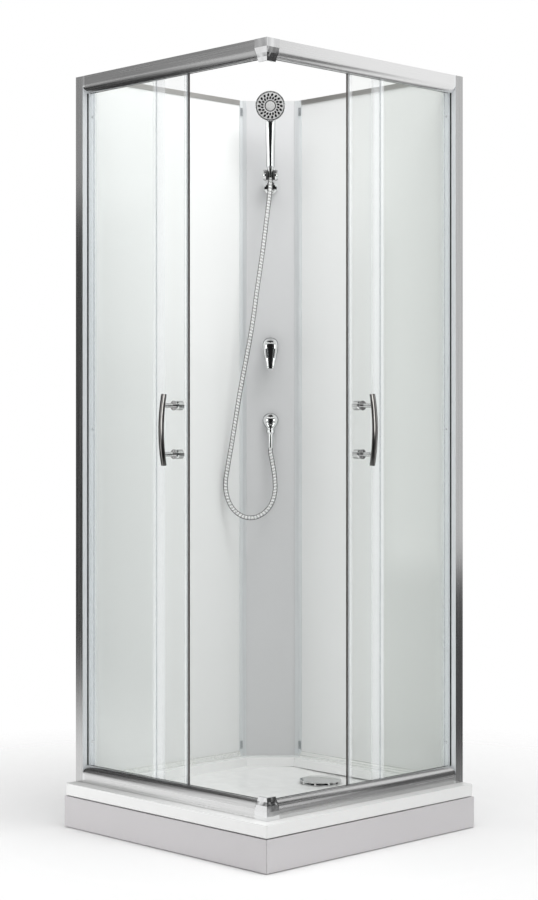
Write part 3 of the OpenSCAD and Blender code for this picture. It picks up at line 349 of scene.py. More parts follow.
studio_card("card_front", arc_points(3.0, -86, 86, -0.4, 3.6), 0.012)
studio_card("card_glint_left", arc_points(2.5, -62, -38, 0.9, 2.3), 2.6)
studio_card("card_glint_right", arc_points(2.5, 38, 62, 0.9, 2.3), 2.6)
studio_card("card_above", card_points((0.0, 0.0, 3.6), (1.9, 0, 0), (0, 1.9, 0)), 0.04)
studio_card("card_left", arc_points(1.7, -170, -78, 0.0, 2.1), 0.04)
studio_card("card_left_high", arc_points(1.8, -176, -100, 1.5, 3.5), 0.04)
studio_card("card_high", card_points((-2.1, -1.7, 2.5), (0.75, -0.75, 0), (0, 0, 0.5)), 0.38)
studio_card("card_right", arc_points(1.7, 76, 112, -0.2, 0.7), 0.1)
studio_card("card_behind", arc_points(1.7, 100, 164, 0.2, 2.9), 0.12)
studio_card("card_bar", card_points((1.35, 0.88, 1.1), (0.2, -0.2, 0), (0, 0, 0.75)), 0.05)
studio_card("card_floor", card_points((1.35, 0.9, 0.01), (0.85, 0, 0), (0, 1.1, 0)), 0.28)

# Tray: one sheet of white cast acrylic, drawn down warm into the basin, with a high gloss
# and a barely uneven skin. It lies on the support frame.
acrylic = Finish("white_acrylic", specular_ior_level=0.35, coat_weight=0.12, coat_roughness=0.1)
cloud = acrylic.noise(3.0, 3.0)
acrylic.set(
    base_color=acrylic.mix(cloud, (0.84, 0.845, 0.84), (0.88, 0.883, 0.875)),
    roughness=acrylic.span(acrylic.noise(22.0, 4.0), 0.3, 0.7, 0.16, 0.26),
    normal=acrylic.bump(acrylic.noise(160.0, 2.0), 0.05, 0.0004),
)
acrylic.wear("shower_tray")

# Aprons: two panels pressed from a thinner sheet of plastic, in a slightly pinker white.
# They meet at the front corner, under the tray's rim, and stays on the frame hold them.
# The left panel is painted a little darker than the right. Each tone is partly the plastic's
# own pinkish white and partly painted shade, set for how light falls on that side.
for name, tone_and_shade in (("apron_left", 0.56), ("apron_right", 0.6)):
    apron = Finish(name)
    apron.set(
        base_color=apron.mix(apron.noise(2.5, 3.0), (tone_and_shade, tone_and_shade - 0.015, tone_and_shade - 0.005),
                             (tone_and_shade + 0.04, tone_and_shade + 0.025, tone_and_shade + 0.035)),
        roughness=apron.span(apron.noise(5.0, 2.0), 0.3, 0.7, 0.28, 0.34),
        normal=apron.bump(apron.noise(9.0, 1.0), 0.05, 0.001),
    )
    apron.wear(name)

# Support frame: square steel tube, welded and hot-dip galvanised, with the dull spangle of
# zinc. The small clips of the column are bent from sheet of the same steel.
zinc = Finish("galvanised_steel", metallic=0.9)
spangle = zinc.add("ShaderNodeTexVoronoi", {}, Vector=zinc.place(), Scale=70.0, out=1)
flakes = zinc.add("ShaderNodeSeparateColor", {}, spangle)
zinc.set(
    base_color=zinc.mix(flakes, (0.42, 0.44, 0.46), (0.62, 0.64, 0.66)),
    roughness=zinc.span(flakes, 0.0, 1.0, 0.34, 0.52),
    normal=zinc.bump(zinc.noise(240.0, 3.0), 0.15, 0.0005),
)
zinc.wear("tray_frame", "panel_clips")

# Feet, trap, waste, strainer, rollers and jaw: dark moulded plastic with a fine grain. The
# feet are screwed into the frame, and the rollers turn on axles in the doors.
moulded = Finish("dark_moulded_plastic")
moulded.set(
    base_color=moulded.mix(moulded.noise(30.0, 3.0), grey(0.035), grey(0.055)),
    roughness=moulded.span(moulded.noise(90.0, 4.0), 0.3, 0.7, 0.38, 0.55),
    normal=moulded.bump(moulded.noise(900.0, 2.0), 0.25, 0.0003),
)
rollers = [
    f"roller_{level}_{side}_{end}" for level in ("top", "bottom")
    for side in ("left", "right") for end in ("lead", "trail")
]
moulded.wear("levelling_feet", "drain_trap", "waste_pipe", "drain_strainer", "holder_jaw",
             *rollers)

# Chrome: bright plate on the small fittings, which are screwed or clipped on, with faint
# wiping marks in the polish. Its colour carries a painted shade that darkens it towards its
# outlines as (1 - cos)^1.7 of the angle of view.
chrome = Finish("bright_chrome", metallic=1.0)
painted_outline_shade = chrome.facing() ** 1.7
chrome.set(
    base_color=chrome.mix(
        painted_outline_shade, chrome.mix(chrome.noise(14.0, 3.0), grey(0.8), (0.88, 0.89, 0.9)), grey(0.06)),
    roughness=chrome.span(chrome.noise(120.0, 4.0), 0.3, 0.75, 0.03, 0.08),
    normal=chrome.bump(chrome.noise(60.0, 1.0), 0.02, 0.0003),
)
chrome.wear("drain_flange", "frame_screws", "door_carriers_left", "door_carriers_right")

# Mirror chrome: thick plate on the mixer, the outlet, the holder and the handset. It is a
# flawless mirror whose colour carries a painted shade only at its very outline.
mirror_chrome = Finish("mirror_chrome", metallic=1.0)
painted_outline_shade = mirror_chrome.span(mirror_chrome.facing(), 0.42, 0.74)
mirror_chrome.set(
    base_color=mirror_chrome.mix(
        painted_outline_shade, mirror_chrome.mix(mirror_chrome.noise(14.0, 3.0), grey(0.9), (0.96, 0.97, 0.98)),
        grey(0.03)),
    roughness=mirror_chrome.span(mirror_chrome.noise(120.0, 4.0), 0.3, 0.75, 0.02, 0.05),
)
mirror_chrome.wear(
    "mixer_plate", "mixer_hub", "mixer_lever", "hose_outlet", "outlet_nut", "holder_base",
    "handset_nut", "handset_shell",
)

# Corner connectors and rail ends: chromed castings, polished by hand, so that their faces
# are a little wavy. Their spigots are pushed into the hollow rails.
cast_chrome = Finish("cast_chrome", metallic=1.0)
cast_chrome.set(
    base_color=cast_chrome.mix(cast_chrome.noise(14.0, 3.0), grey(0.74), (0.84, 0.85, 0.86)),
    roughness=cast_chrome.span(cast_chrome.noise(120.0, 4.0), 0.3, 0.75, 0.06, 0.14),
    normal=cast_chrome.bump(cast_chrome.noise(30.0, 1.0, (1, 1, 0.3)), 0.5, 0.004),
)
cast_chrome.wear("top_corner", "bottom_corner", "rail_ends")

# Back walls: toughened glass, painted white behind, with an even gloss in front. Each
# stands in a sill under a brushed top profile, between the column and a post.
white_glass = Finish("white_backed_glass", specular_ior_level=0.4)
white_glass.set(
    base_color=white_glass.mix(
        white_glass.noise(1.4, 2.0), (0.875, 0.885, 0.88), (0.885, 0.893, 0.888)),
    roughness=white_glass.span(white_glass.noise(3.0, 2.0), 0.3, 0.7, 0.2, 0.24),
)
white_glass.wear("back_panel_left", "back_panel_right")

# Column panel and spray face: a light grey coat with a satin face. The panel is a sheet
# across the back corner, and the mixer, the outlet and the holder are fixed through it.
panel = Finish("grey_panel")
panel.set(
    base_color=panel.mix(panel.noise(2.0, 3.0), (0.70, 0.705, 0.715), (0.73, 0.735, 0.74)),
    roughness=panel.span(panel.noise(35.0, 4.0), 0.3, 0.7, 0.3, 0.42),
    normal=panel.bump(panel.noise(700.0, 2.0), 0.06, 0.0003),
)
panel.wear("column_panel", "handset_face")


# Frame: drawn aluminium profiles, polished and anodised, and screwed together. The posts'
# faces that look along a pane are left satin, so they take the light.
def drawn_metal(name, along, dark, light, rough=(0.16, 0.3)):
    """Aluminium drawn through a die: fine lines run along one axis of the profile, as a
    noise that is stretched 140 times along it."""
    metal = Finish(name, metallic=1.0)
    lines = metal.noise(1.0, 3.0, [3.0 if axis == along else 420.0 for axis in range(3)])
    metal.set(
        base_color=metal.mix(lines, dark, light),
        roughness=metal.span(lines, 0.3, 0.7, *rough),
        normal=metal.bump(lines, 0.12, 0.0004),
    )
    return metal


# Each rail has its own tone, lighter or darker: painted light and shade, lit and shaded copies
# of the one drawn aluminium.
for name, along, dark, light in (
        ("top_rail_left", 0, 0.46, 0.6), ("bottom_rail_left", 0, 0.64, 0.8),
        ("top_rail_right", 1, 0.72, 0.88), ("bottom_rail_right", 1, 0.56, 0.72)):
    drawn_metal(f"drawn_{name}", along, grey(dark), grey(light)).wear(name)
# The left post's tone is scaled by 1.1 and the right one's by 0.88: painted light and shade, a
# lit and a shaded copy.
for side, across, tone_and_shade in (("left", 0, 1.1), ("right", 1, 0.88)):
    post = drawn_metal(f"drawn_post_{side}", 2, (0.5, 0.5, 0.48), (0.6, 0.6, 0.58))
    satin = post.span(abs(post.axes(post.normal())[across]), 0.5, 0.7)
    lines = post.noise(1.0, 3.0, (160.0, 160.0, 1.5))
    post.set(
        metallic=1.0 - satin * 0.9,
        base_color=post.mix(
            satin, post.mix(lines, grey(0.49 * tone_and_shade), grey(0.59 * tone_and_shade)),
            post.mix(lines, (0.82, 0.85, 0.88), (0.93, 0.95, 0.97))),
        normal=post.bump(lines, 0.05, 0.0003),
    )
    post.wear(f"post_{side}")
drawn_metal("brushed_cap", 0, (0.5, 0.49, 0.47), (0.66, 0.65, 0.63), (0.3, 0.42)).wear(
    "back_top_profiles")
drawn_metal("drawn_sill", 0, (0.78, 0.79, 0.77), (0.92, 0.93, 0.91), (0.22, 0.36)).set(
    metallic=0.4).wear("back_sills")
drawn_metal("drawn_upright", 2, (0.72, 0.75, 0.76), (0.9, 0.92, 0.93), (0.4, 0.5)).set(
    metallic=0.35).wear("column_profiles")

# Brass: the mixer's cast body and the drawn pipe from it to the hose outlet, unplated,
# because both are behind the column.
brass = Finish("cast_brass", metallic=1.0)
brass.set(
    base_color=brass.mix(brass.noise(30.0, 4.0), (0.58, 0.42, 0.2), (0.72, 0.56, 0.3)),
    roughness=brass.span(brass.noise(200.0, 4.0), 0.3, 0.7, 0.3, 0.48),
    normal=brass.bump(brass.noise(500.0, 3.0), 0.2, 0.0004),
)
brass.wear("mixer_body", "link_pipe")


# Panes: clear toughened glass with ground edges. The fixed ones stand in the grooves of
# the rails, and the doors run on rollers in bores near their corners.
def clear_pane(name, across, tint):
    """Toughened glass, seen through its faces and solid blue-green at its edges, which
    stand square to the axis across the pane. The share that a face mirrors is
    0.02 + 0.9 (1 - cos)^5 of the angle of view."""
    glass = Finish(name, metallic=1.0, base_color=grey(0.96), roughness=0.01)
    face = glass.span(abs(glass.axes(glass.normal())[across]), 0.4, 0.6)
    mirror = glass.facing() ** 5.0 * 0.9 + 0.02
    clear = glass.add("ShaderNodeBsdfTransparent", {}, tint)
    sheet = glass.add(
        "ShaderNodeMixShader", {}, mirror, clear, Value(glass, glass.shader.outputs[0]))
    edge = glass.add(
        "ShaderNodeBsdfPrincipled", {}, Base_Color=(0.05, 0.1, 0.13), Roughness=0.15,
        Alpha=0.7)
    glass.feed(glass.output.inputs["Surface"],
               glass.add("ShaderNodeMixShader", {}, face, edge, sheet))
    return glass


# Both tints are the glass's own faint green. The right panes' darker tint is painted shade on
# what is seen through them.
clear_pane("clear_pane_left", 1, (0.99, 0.995, 0.993)).wear(
    "fixed_glass_left", "door_glass_left")
clear_pane("clear_pane_right", 0, (0.972, 0.978, 0.973)).wear(
    "fixed_glass_right", "door_glass_right")

# Seals: drawn strips of clear vinyl, pressed over the edges of the glass. Where the doors
# meet, the strip holds a magnet.
MAGNET_END, MAGNET_BLUR = 0.2969, 0.0003


def clear_vinyl(name, magnet=False):
    """Soft clear vinyl with a painted glow, a painted light that stands in for the light it
    carries along. A closing seal holds a dark magnet behind its mitred face. The face stands
    where
    |x + y| is 0.2904, and the vinyl is dark from there up to MAGNET_END."""
    # Painted light: the emission makes the vinyl glow with its own pale tone.
    vinyl = Finish(name, roughness=0.25, specular_ior_level=0.4, emission_strength=0.2)
    haze_and_glow = vinyl.mix(vinyl.noise(8.0, 2.0, (1, 1, 0.2)), (0.9, 0.92, 0.94), (0.94, 0.96, 0.98))
    if not magnet:
        return vinyl.set(base_color=haze_and_glow, alpha=0.2, emission_color=haze_and_glow)
    x, y, _ = vinyl.axes(vinyl.place())
    dark = vinyl.span(abs(x + y), MAGNET_END - MAGNET_BLUR, MAGNET_END + MAGNET_BLUR, 1.0, 0.0)
    return vinyl.set(base_color=vinyl.mix(dark, haze_and_glow, (0.035, 0.027, 0.022)),
                     emission_color=vinyl.mix(dark, haze_and_glow, grey(0.0)),
                     alpha=0.2 + dark * 0.78)


clear_vinyl("clear_vinyl").wear("glass_seals")
clear_vinyl("magnet_vinyl", True).wear("door_seal_left", "door_seal_right")

# Handles: bowed bars of smoked chrome on zinc, polished along their length. What lies
# less far out than BOW_FROM, where x or -y is the way out, is a standoff of bright chrome.
BOW_FROM, BOW_BLUR = 0.3637, 0.0005
bow = Finish("handle_chrome", metallic=1.0)
strokes = bow.noise(1.0, 3.0, (160.0, 160.0, 6.0))
x, y, _ = bow.axes(bow.place())
bar = bow.span(x.or_more(0.0 - y), BOW_FROM - BOW_BLUR, BOW_FROM + BOW_BLUR)
# The standoffs' colour carries a painted shade that darkens it towards their outlines, as (1 -
# cos)^1.3 of the angle of view.
bow.set(
    base_color=bow.mix(bar, bow.mix(bow.facing() ** 1.3, grey(0.95), grey(0.02)),
                       bow.mix(strokes, (0.22, 0.212, 0.205), (0.46, 0.447, 0.435))),
    roughness=bow.span(strokes, 0.3, 0.7, 0.08, 0.18),
    normal=bow.bump(strokes, 0.25, 0.001),
)
bow.wear("door_handle_left", "door_handle_right")

# Hose: double-locked metal strip, chromed. It leaves the outlet's ferrule straight down,
# hangs in a loop to the left, and rises to the nut of the handset. Its colour carries painted
# glints, a painted highlight in slanting bands, sin(2 pi run / glint pitch + glint slant
# across), and a painted shade along its outline.
# COLUMN is the foot of the column's face, and OUT, RIGHT and UP are the ways from it.
COLUMN = np.array([-0.320, 0.320, 0.0])
OUT = np.array([math.sqrt(0.5), -math.sqrt(0.5), 0.0])
RIGHT = np.array([math.sqrt(0.5), math.sqrt(0.5), 0.0])
UP = np.array([0.0, 0.0, 1.0])
LEAN = math.radians(12.0)
HOSE_RADIUS, HOSE_VALLEY = 0.007, 0.0064
HOLDER_OUT, HOLDER_Z = 0.046, 1.856
HOSE_START, STRAIGHT, NUT_DROP = 1.044, 0.014, 0.006
PAINTED_GLINT_PITCH, PAINTED_GLINT_SLANT = 0.0094, 1.2


def on_column(local):
    """Points given as (out of the column, to its right, height), in the shared frame."""
    local = np.asarray(local, float)
    return COLUMN + local[..., 0:1] * OUT + local[..., 1:2] * RIGHT + local[..., 2:3] * UP


hose_end = np.array([HOLDER_OUT - NUT_DROP * math.sin(LEAN), 0.0,
                     HOLDER_Z - NUT_DROP * math.cos(LEAN)])
hose_turn = hose_end - STRAIGHT * np.array([math.sin(LEAN), 0.0, math.cos(LEAN)])
ROUTE = np.array([
    (0.024, 0.0, HOSE_START), (0.024, 0.0, HOSE_START - STRAIGHT),
    (0.028, 0.007, 0.992), (0.038, 0.013, 0.952), (0.048, 0.013, 0.912),
    (0.056, 0.002, 0.876), (0.062, -0.020, 0.850), (0.066, -0.050, 0.837),
    (0.069, -0.082, 0.841), (0.071, -0.110, 0.862), (0.072, -0.128, 0.898),
    (0.072, -0.133, 0.940), (0.072, -0.126, 0.990), (0.071, -0.114, 1.060),
    (0.070, -0.102, 1.135), (0.069, -0.090, 1.210), (0.068, -0.076, 1.285),
    (0.067, -0.062, 1.360), (0.065, -0.050, 1.435), (0.063, -0.040, 1.510),
    (0.060, -0.029, 1.585), (0.057, -0.019, 1.660), (0.053, -0.010, 1.735),
    (0.046, -0.003, 1.795), tuple(hose_turn), tuple(hose_end),
])
# At ROUTE_SPLIT the hose's two pieces meet.
HANGS_FROM, ROUTE_SPLIT = 21, 22


def smooth_route(points, steps=24):
    """A Catmull-Rom curve through the points: each span is the cubic whose slope at a
    point is half the way from the point before it to the one after it."""
    ends = np.vstack([2 * points[0] - points[1], points, 2 * points[-1] - points[-2]])
    t = (np.arange(steps) / steps)[None, :, None]
    a, b, c, d = (ends[k:len(ends) - 3 + k][:, None, :] for k in range(4))
    spans = 0.5 * (2 * b + (c - a) * t + (2 * a - 5 * b + 4 * c - d) * t ** 2
                   + (3 * b - a - 3 * c + d) * t ** 3)
    return np.vstack([spans.reshape(-1, points.shape[1]), points[-1:]])


def tube_on(line, places, radii, sides, step=0.001):
    """Rings of a tube square to a line, centre + radius (cos turn side + sin turn other):
    each ring's centre is at a run along the line, and its two axes turn with the line, kept
    from twisting by one fixed direction."""
    run = np.concatenate([[0], np.cumsum(np.linalg.norm(np.diff(line, axis=0), axis=1))])
    centre, ahead, behind = (
        np.stack([np.interp(where, run, line[:, k]) for k in range(3)], axis=1)
        for where in (places, places + step, places - step))
    along = ahead - behind
    along /= np.linalg.norm(along, axis=1)[:, None]
    side = np.cross(along, OUT)
    side /= np.linalg.norm(side, axis=1)[:, None]
    other = np.cross(side, along)
    turn = np.arange(sides) * 2 * math.pi / sides
    return centre[:, None, :] + radii[:, None, None] * (
        np.cos(turn)[None, :, None] * side[:, None, :]
        + np.sin(turn)[None, :, None] * other[:, None, :])


def ribbed_hose(name, points, ribs_per_metre=298.0, sides=16):
    """A tube whose radius rises and falls along it: in each rib the strip's round back
    stands between two narrow grooves."""
    line = on_column(smooth_route(points))
    length = float(np.linalg.norm(np.diff(line, axis=0), axis=1).sum())
    ribs = round(length * ribs_per_metre)
    phase = np.array([0.0, 0.14, 0.36, 0.64, 0.86])
    shape = np.array([0.0, 0.72, 1.0, 1.0, 0.72])
    places = ((np.arange(ribs)[:, None] + phase) / ribs * length).ravel()
    radii = HOSE_VALLEY + (HOSE_RADIUS - HOSE_VALLEY) * np.tile(shape, ribs)
    places, radii = np.append(places, length), np.append(radii, HOSE_VALLEY)
    points = tube_on(line, places, radii, sides)
    piece = grid_piece(name, points, closed=True, caps=True)
    outward = (points - points.mean(axis=1, keepdims=True)) / radii[:, None, None]
    for title, kind, title_of, values in (
            ("outward", "FLOAT_VECTOR", "vector", outward.ravel()),
            ("run", "FLOAT", "value", np.repeat(places, sides))):
        piece.data.attributes.new(title, kind, "POINT").data.foreach_set(title_of, values)
    piece.data.materials.append(hose_chrome.material)
    return piece, line, length


hose_chrome = Finish("hose_chrome", metallic=0.3)
outward = hose_chrome.add("ShaderNodeAttribute", {"attribute_name": "outward"}, out=1)
run = hose_chrome.add("ShaderNodeAttribute", {"attribute_name": "run"}, out=2)
across = hose_chrome.add("ShaderNodeVectorMath", {"operation": "DOT_PRODUCT"}, outward,
                         tuple(RIGHT), out=1)
# Painted highlight: slanting glint bands in the colour.
painted_glint = (run * (2 * math.pi / PAINTED_GLINT_PITCH) + across * PAINTED_GLINT_SLANT).sine()
# Painted shade: a dark outline along the hose's sides.
edge = hose_chrome.span(hose_chrome.facing(outward), 0.14, 0.5)
hose_chrome.set(
    base_color=hose_chrome.mix(
        edge, hose_chrome.mix(hose_chrome.span(painted_glint, -0.9, 0.1), grey(0.5), grey(0.98)),
        grey(0.012)),
    roughness=hose_chrome.span(hose_chrome.noise(300.0, 3.0), 0.3, 0.7, 0.2, 0.34),
)
lower, line, length = ribbed_hose("hose_lower", ROUTE[:ROUTE_SPLIT + 1])
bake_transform(lower)
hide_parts("shower_hose")
upper, line, length = ribbed_hose("hose_upper", ROUTE[ROUTE_SPLIT:])
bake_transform(upper)
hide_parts("shower_hose")


def smoothed(table, steps=6):
    """Rows of millimetres with a Catmull-Rom curve carried through each column, in metres
    and as one array for each column."""
    return smooth_route(np.array(table, float), steps).T / 1000


def lofted(name, stations, origin, up, wide, deep, sides=48, power=2.0):
    """A skin over superellipses: each station gives a height along up, a shift along
    deep, and the half sizes along wide and deep. A point of a section is cos^(2/power)
    of its turn along wide and sin^(2/power) along deep."""
    turn = np.arange(sides) * 2 * math.pi / sides
    cos = np.sign(np.cos(turn)) * np.abs(np.cos(turn)) ** (2 / power)
    sin = np.sign(np.sin(turn)) * np.abs(np.sin(turn)) ** (2 / power)
    height, shift, half_wide, half_deep = smoothed(stations)
    points = (origin + height[:, None, None] * up
              + (shift[:, None] + np.maximum(half_deep, 0)[:, None] * sin)[..., None] * deep
              + (np.maximum(half_wide, 0)[:, None] * cos)[..., None] * wide)
    return grid_piece(name, points, closed=True)


def turned(name, outline, origin, axis, side, sides):
    """A shape turned on a lathe, height axis + radius (cos turn side + sin turn other), from
    an outline of (radius, height) pairs in millimetres."""
    radius, height = smoothed(outline)
    turn = np.arange(sides) * 2 * math.pi / sides
    other = np.cross(axis, side)
    ring = np.cos(turn)[:, None] * side + np.sin(turn)[:, None] * other
    points = (origin + height[:, None, None] * axis
              + np.maximum(radius, 0)[:, None, None] * ring[None, :, :])
    return grid_piece(name, points, closed=True)


# Handset: a shell moulded in plastic and chromed, a grip that widens into the neck and
# a round head. Its foot sits in the jaw of the holder.
handset_up = math.sin(LEAN) * OUT + math.cos(LEAN) * UP
handset_front = math.cos(LEAN) * OUT - math.sin(LEAN) * UP
handset_foot = on_column([HOLDER_OUT, 0.0, HOLDER_Z])
HEAD_RISE, HEAD_OUT, HEAD_DIP = 0.204, 0.016, math.radians(98.0)
head_axis = math.sin(HEAD_DIP) * OUT + math.cos(HEAD_DIP) * UP
head_up = np.cross(head_axis, RIGHT) * -1.0
head_centre = handset_foot + HEAD_OUT * handset_front + HEAD_RISE * handset_up
grip = lofted("handset_grip", [
    (25, 0, 0, 0), (25, 0, 9, 9), (25.3, 0, 11, 11), (27, 0, 12, 12), (60, 0, 12.6, 12.2),
    (95, -0.6, 13.4, 11.4), (125, -1.6, 14, 10), (148, -2.2, 14.5, 9), (160, -1.6, 15.4, 8.6),
    (170, 0.2, 17, 8.4), (178, 2, 19.5, 7.8), (186, 3.6, 23, 6.6), (193, 5, 25, 5),
    (196, 5.5, 22, 3), (197, 5.6, 0, 0)],
    handset_foot, handset_up, RIGHT, handset_front)
head = turned("handset_head", [
    (0, -21.6), (8, -21.6), (16, -21.2), (24, -19.8), (31, -16.8), (37, -12.2),
    (41.4, -7.2), (43.5, -3.2), (43.9, -1.4), (43.5, -0.3), (42.6, 0.05), (41.8, -0.3),
    (41.4, -1.4), (41.2, -2.6), (20, -2.8), (0, -2.8)],
    head_centre, head_axis, RIGHT, sides=96)
for piece in (grip, head):
    piece.data.materials.append(mirror_chrome.material)
    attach(piece, "handset")
    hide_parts("handset_shell")

# Spray face: a grey moulded plate with a boss, clipped into the head's rim. Black silicone
# lies behind it and shows in the gap round the boss. The black ring in the gap round the
# plate is painted shade, laid between the plate and the rim.
silicone = Finish("black_silicone", specular_ior_level=0.15)
silicone.set(
    base_color=silicone.mix(silicone.noise(200.0), grey(0.006), grey(0.014)),
    roughness=silicone.span(silicone.noise(400.0), 0.3, 0.7, 0.5, 0.7),
)
silicone.wear("handset_nozzles")
spray_grey = Finish("spray_plate", metallic=0.1)
spray_grey.set(
    base_color=spray_grey.mix(spray_grey.noise(120.0, 3.0), grey(0.6), grey(0.7)),
    roughness=spray_grey.span(spray_grey.noise(400.0, 3.0), 0.3, 0.7, 0.2, 0.34),
)
plate = turned("handset_plate", [
    (39.9, -2.4), (39.7, -0.9), (39, -0.4), (35, -0.1), (29, 0.1), (22, 0.0),
    (17.6, -0.2), (16.8, -0.6), (16.6, -1.4), (16.5, -2.4)],
    head_centre, head_axis, RIGHT, sides=96)
boss = turned("handset_boss", [
    (14.0, -2.2), (13.9, -0.8), (13.3, 0.0), (11, 0.5), (6, 0.8), (0, 0.9)],
    head_centre, head_axis, RIGHT, sides=64)
ring = turned("handset_ring", [
    (16.7, -1.6), (16.0, -1.0), (15.2, -0.9), (14.4, -1.0), (13.8, -1.6)],
    head_centre, head_axis, RIGHT, sides=64)
# Painted shade: a black ring in the gap round the plate.
painted_shade_ring = turned("handset_painted_shade_ring", [
    (41.6, -2.2), (41.2, -1.2), (40.5, -1.0), (39.9, -1.2), (39.6, -2.2)],
    head_centre, head_axis, RIGHT, sides=96)
for piece in (plate, boss, ring, painted_shade_ring):
    dark = piece in (ring, painted_shade_ring)
    piece.data.materials.append((silicone if dark else spray_grey).material)
    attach(piece, "handset")
    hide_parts("handset_face")

# Nozzles: soft silicone teats, two rings of slanted oval pads that stand out of the face.
# A pad is four outlines of TEAT_SIDES points, each a share of its size at a height in mm.
NOZZLES, TEAT_SIDES, TEAT_SLANT = 18, 12, math.radians(18.0)
TEAT_OUTLINES = ((1.0, -0.4), (1.0, 0.4), (0.92, 0.7), (0.0, 0.8))
round_turn = np.arange(TEAT_SIDES) * 2 * math.pi / TEAT_SIDES
pads = []
for ring_radius, offset, half_wide, half_long in ((32.8, 0.0, 3.3, 4.6), (23.8, 0.5, 2.8, 4.3)):
    turn = (np.arange(NOZZLES) + offset) * 2 * math.pi / NOZZLES
    outward = np.cos(turn)[:, None] * RIGHT + np.sin(turn)[:, None] * head_up
    across = -np.sin(turn)[:, None] * RIGHT + np.cos(turn)[:, None] * head_up
    long_way = math.cos(TEAT_SLANT) * outward + math.sin(TEAT_SLANT) * across
    wide_way = -math.sin(TEAT_SLANT) * outward + math.cos(TEAT_SLANT) * across
    for share, height in TEAT_OUTLINES:
        pads.append(
            head_centre + head_axis * height / 1000
            + outward[:, None, :] * ring_radius / 1000
            + share * (np.cos(round_turn)[None, :, None] * half_long / 1000
                       * long_way[:, None, :]
                       + np.sin(round_turn)[None, :, None] * half_wide / 1000
                       * wide_way[:, None, :]))
pads = np.array(pads).reshape(2, len(TEAT_OUTLINES), NOZZLES, TEAT_SIDES, 3)
pads = pads.transpose(0, 2, 1, 3, 4).reshape(2 * NOZZLES, len(TEAT_OUTLINES), TEAT_SIDES, 3)


def repeated(faces, count, points_each):
    """The faces of like bodies, whose points follow one another in one mesh."""
    return [[points_each * k + point for point in face] for k in range(count) for face in faces]


faces = grid_faces(len(TEAT_OUTLINES), TEAT_SIDES, closed=True, bottom=True)
teats = mesh_piece("handset_teats", pads,
                   repeated(faces, 2 * NOZZLES, len(TEAT_OUTLINES) * TEAT_SIDES))
teats.data.materials.append(silicone.material)
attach(teats, "handset")
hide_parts("handset_nozzles")

# Mixer lever: a casting, chromed, that is screwed on the cartridge: a round cap with a
# raised blade down its front.
LEVER_OUT, LEVER_HEIGHT = 0.031, 1.349
pivot = on_column([LEVER_OUT, 0.0, LEVER_HEIGHT])
cap = lofted("mixer_cap", [
    (23.3, -2, 0, 0), (23, -2, 7, 5), (21.2, -1, 13, 10), (16, 1, 19, 15),
    (8, 3, 22.6, 17.5), (0, 4, 23.3, 18.5), (-8, 5, 23, 18), (-18, 7, 21.6, 16),
    (-30, 10, 19, 12.5), (-42, 13.5, 16.4, 9.5), (-54, 16, 13.2, 7), (-64, 17.5, 11, 5),
    (-71, 18, 8, 4), (-73.4, 18, 0, 0)], pivot, UP, RIGHT, OUT, power=2.2)
blade = lofted("mixer_blade", [
    (16, 17, 0, 0), (15.6, 17, 6, 2), (12, 18.5, 12, 4), (4, 20.5, 16, 5),
    (-8, 20.6, 17, 5.4), (-22, 19, 16, 5.4), (-38, 18, 13.6, 5), (-52, 18, 11, 4.8),
    (-63, 18, 9, 4.4), (-70, 18, 6, 3.4), (-72.6, 18, 0, 0)],
    pivot, UP, RIGHT, OUT)
for piece in (cap, blade):
    piece.data.materials.append(mirror_chrome.material)
    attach(piece, "mixer_lever")
    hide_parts("mixer_lever")

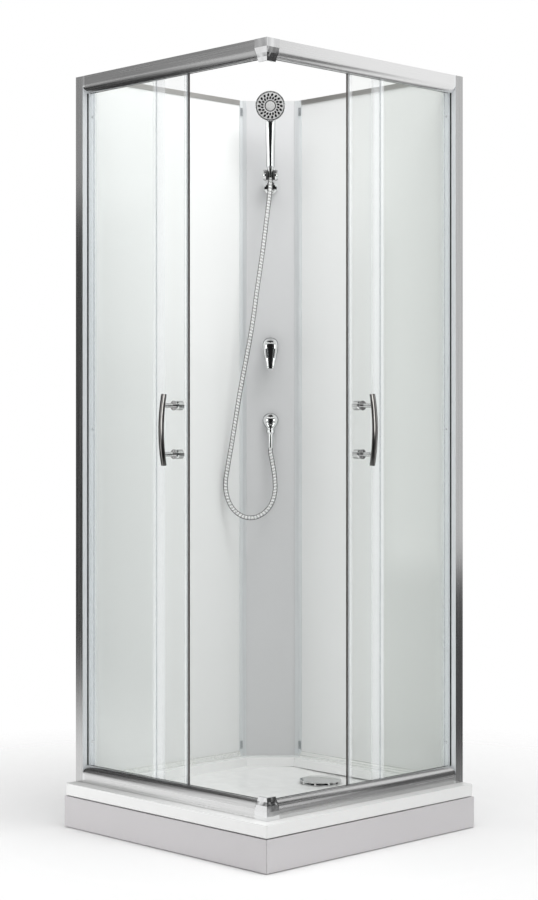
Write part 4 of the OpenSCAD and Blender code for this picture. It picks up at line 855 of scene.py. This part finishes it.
# Hose outlet: a chromed casting, a dome that draws in to the nipple under it, on which the
# nut of the hose is screwed.
OUTLET_HEIGHT = 1.124
outlet = lofted("outlet_dome", [
    (-26, 24, 0, 0), (-26, 24, 9, 9), (-24.5, 23.5, 9.6, 9.6), (-21, 21, 12, 11.5),
    (-15, 17.5, 16.6, 15), (-7, 13.5, 21.4, 17), (1, 12.5, 23.6, 18), (9, 12, 22.6, 17),
    (16, 11, 18.6, 14.5), (21, 10, 12, 11), (23.2, 9.5, 6, 7), (23.8, 9.5, 0, 0)],
    on_column([0.0, 0.0, OUTLET_HEIGHT]), UP, RIGHT, OUT)
outlet.data.materials.append(mirror_chrome.material)
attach(outlet, "cabin")
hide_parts("hose_outlet")

# Drain cover: a pressed steel disc, chromed and polished flat, so that it mirrors the walls
# evenly. Its edge stands on lugs, each a block of eight corners, and the stem under it
# carries the strainer.
LUGS, FIRST_LUG, LID_RISE = 9, 24.0, 0.0041
lid_chrome = Finish("lid_chrome", metallic=1.0)
lid_chrome.set(
    base_color=lid_chrome.mix(lid_chrome.noise(30.0, 3.0), grey(0.62), grey(0.72)),
    roughness=lid_chrome.span(lid_chrome.noise(120.0, 4.0), 0.3, 0.75, 0.03, 0.07),
)
lid_chrome.wear("drain_cover")
low, high = (np.array(corner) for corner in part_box("drain_cover"))
under_lid = np.array([(low[0] + high[0]) / 2, (low[1] + high[1]) / 2, high[2] - LID_RISE])
lid = turned("drain_lid", [
    (0, -12), (4.6, -12), (5, -11.6), (5, -6), (5, -0.6), (5.6, 0), (30, 0), (57, 0),
    (59.4, 0.1), (60, 0.7), (60, 1.6), (59.5, 2.3), (58.2, 2.6), (52, 3.0), (30, 3.8),
    (10, 4.05), (0, 4.1)], under_lid, UP, RIGHT, sides=96)
turn = np.radians(FIRST_LUG + 360.0 / LUGS * np.arange(LUGS))[:, None, None]
outward = np.cos(turn) * OUT + np.sin(turn) * RIGHT
across = np.cos(turn) * RIGHT - np.sin(turn) * OUT
lug = np.array([(reach, half, height) for height in (-6.0, 0.1) for reach, half in
                ((50.0, -2.8), (57.5, -2.8), (57.5, 2.8), (50.0, 2.8))]) / 1000
corners = under_lid + lug[:, 0:1] * outward + lug[:, 1:2] * across + lug[:, 2:3] * UP
faces = grid_faces(2, 4, closed=True, bottom=True, top=True)
lugs = mesh_piece("drain_lugs", corners, repeated(faces, LUGS, len(lug)), smooth=False)
for piece in (lid, lugs):
    piece.data.materials.append(lid_chrome.material)
    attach(piece, "drain_cover")
    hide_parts("drain_cover")
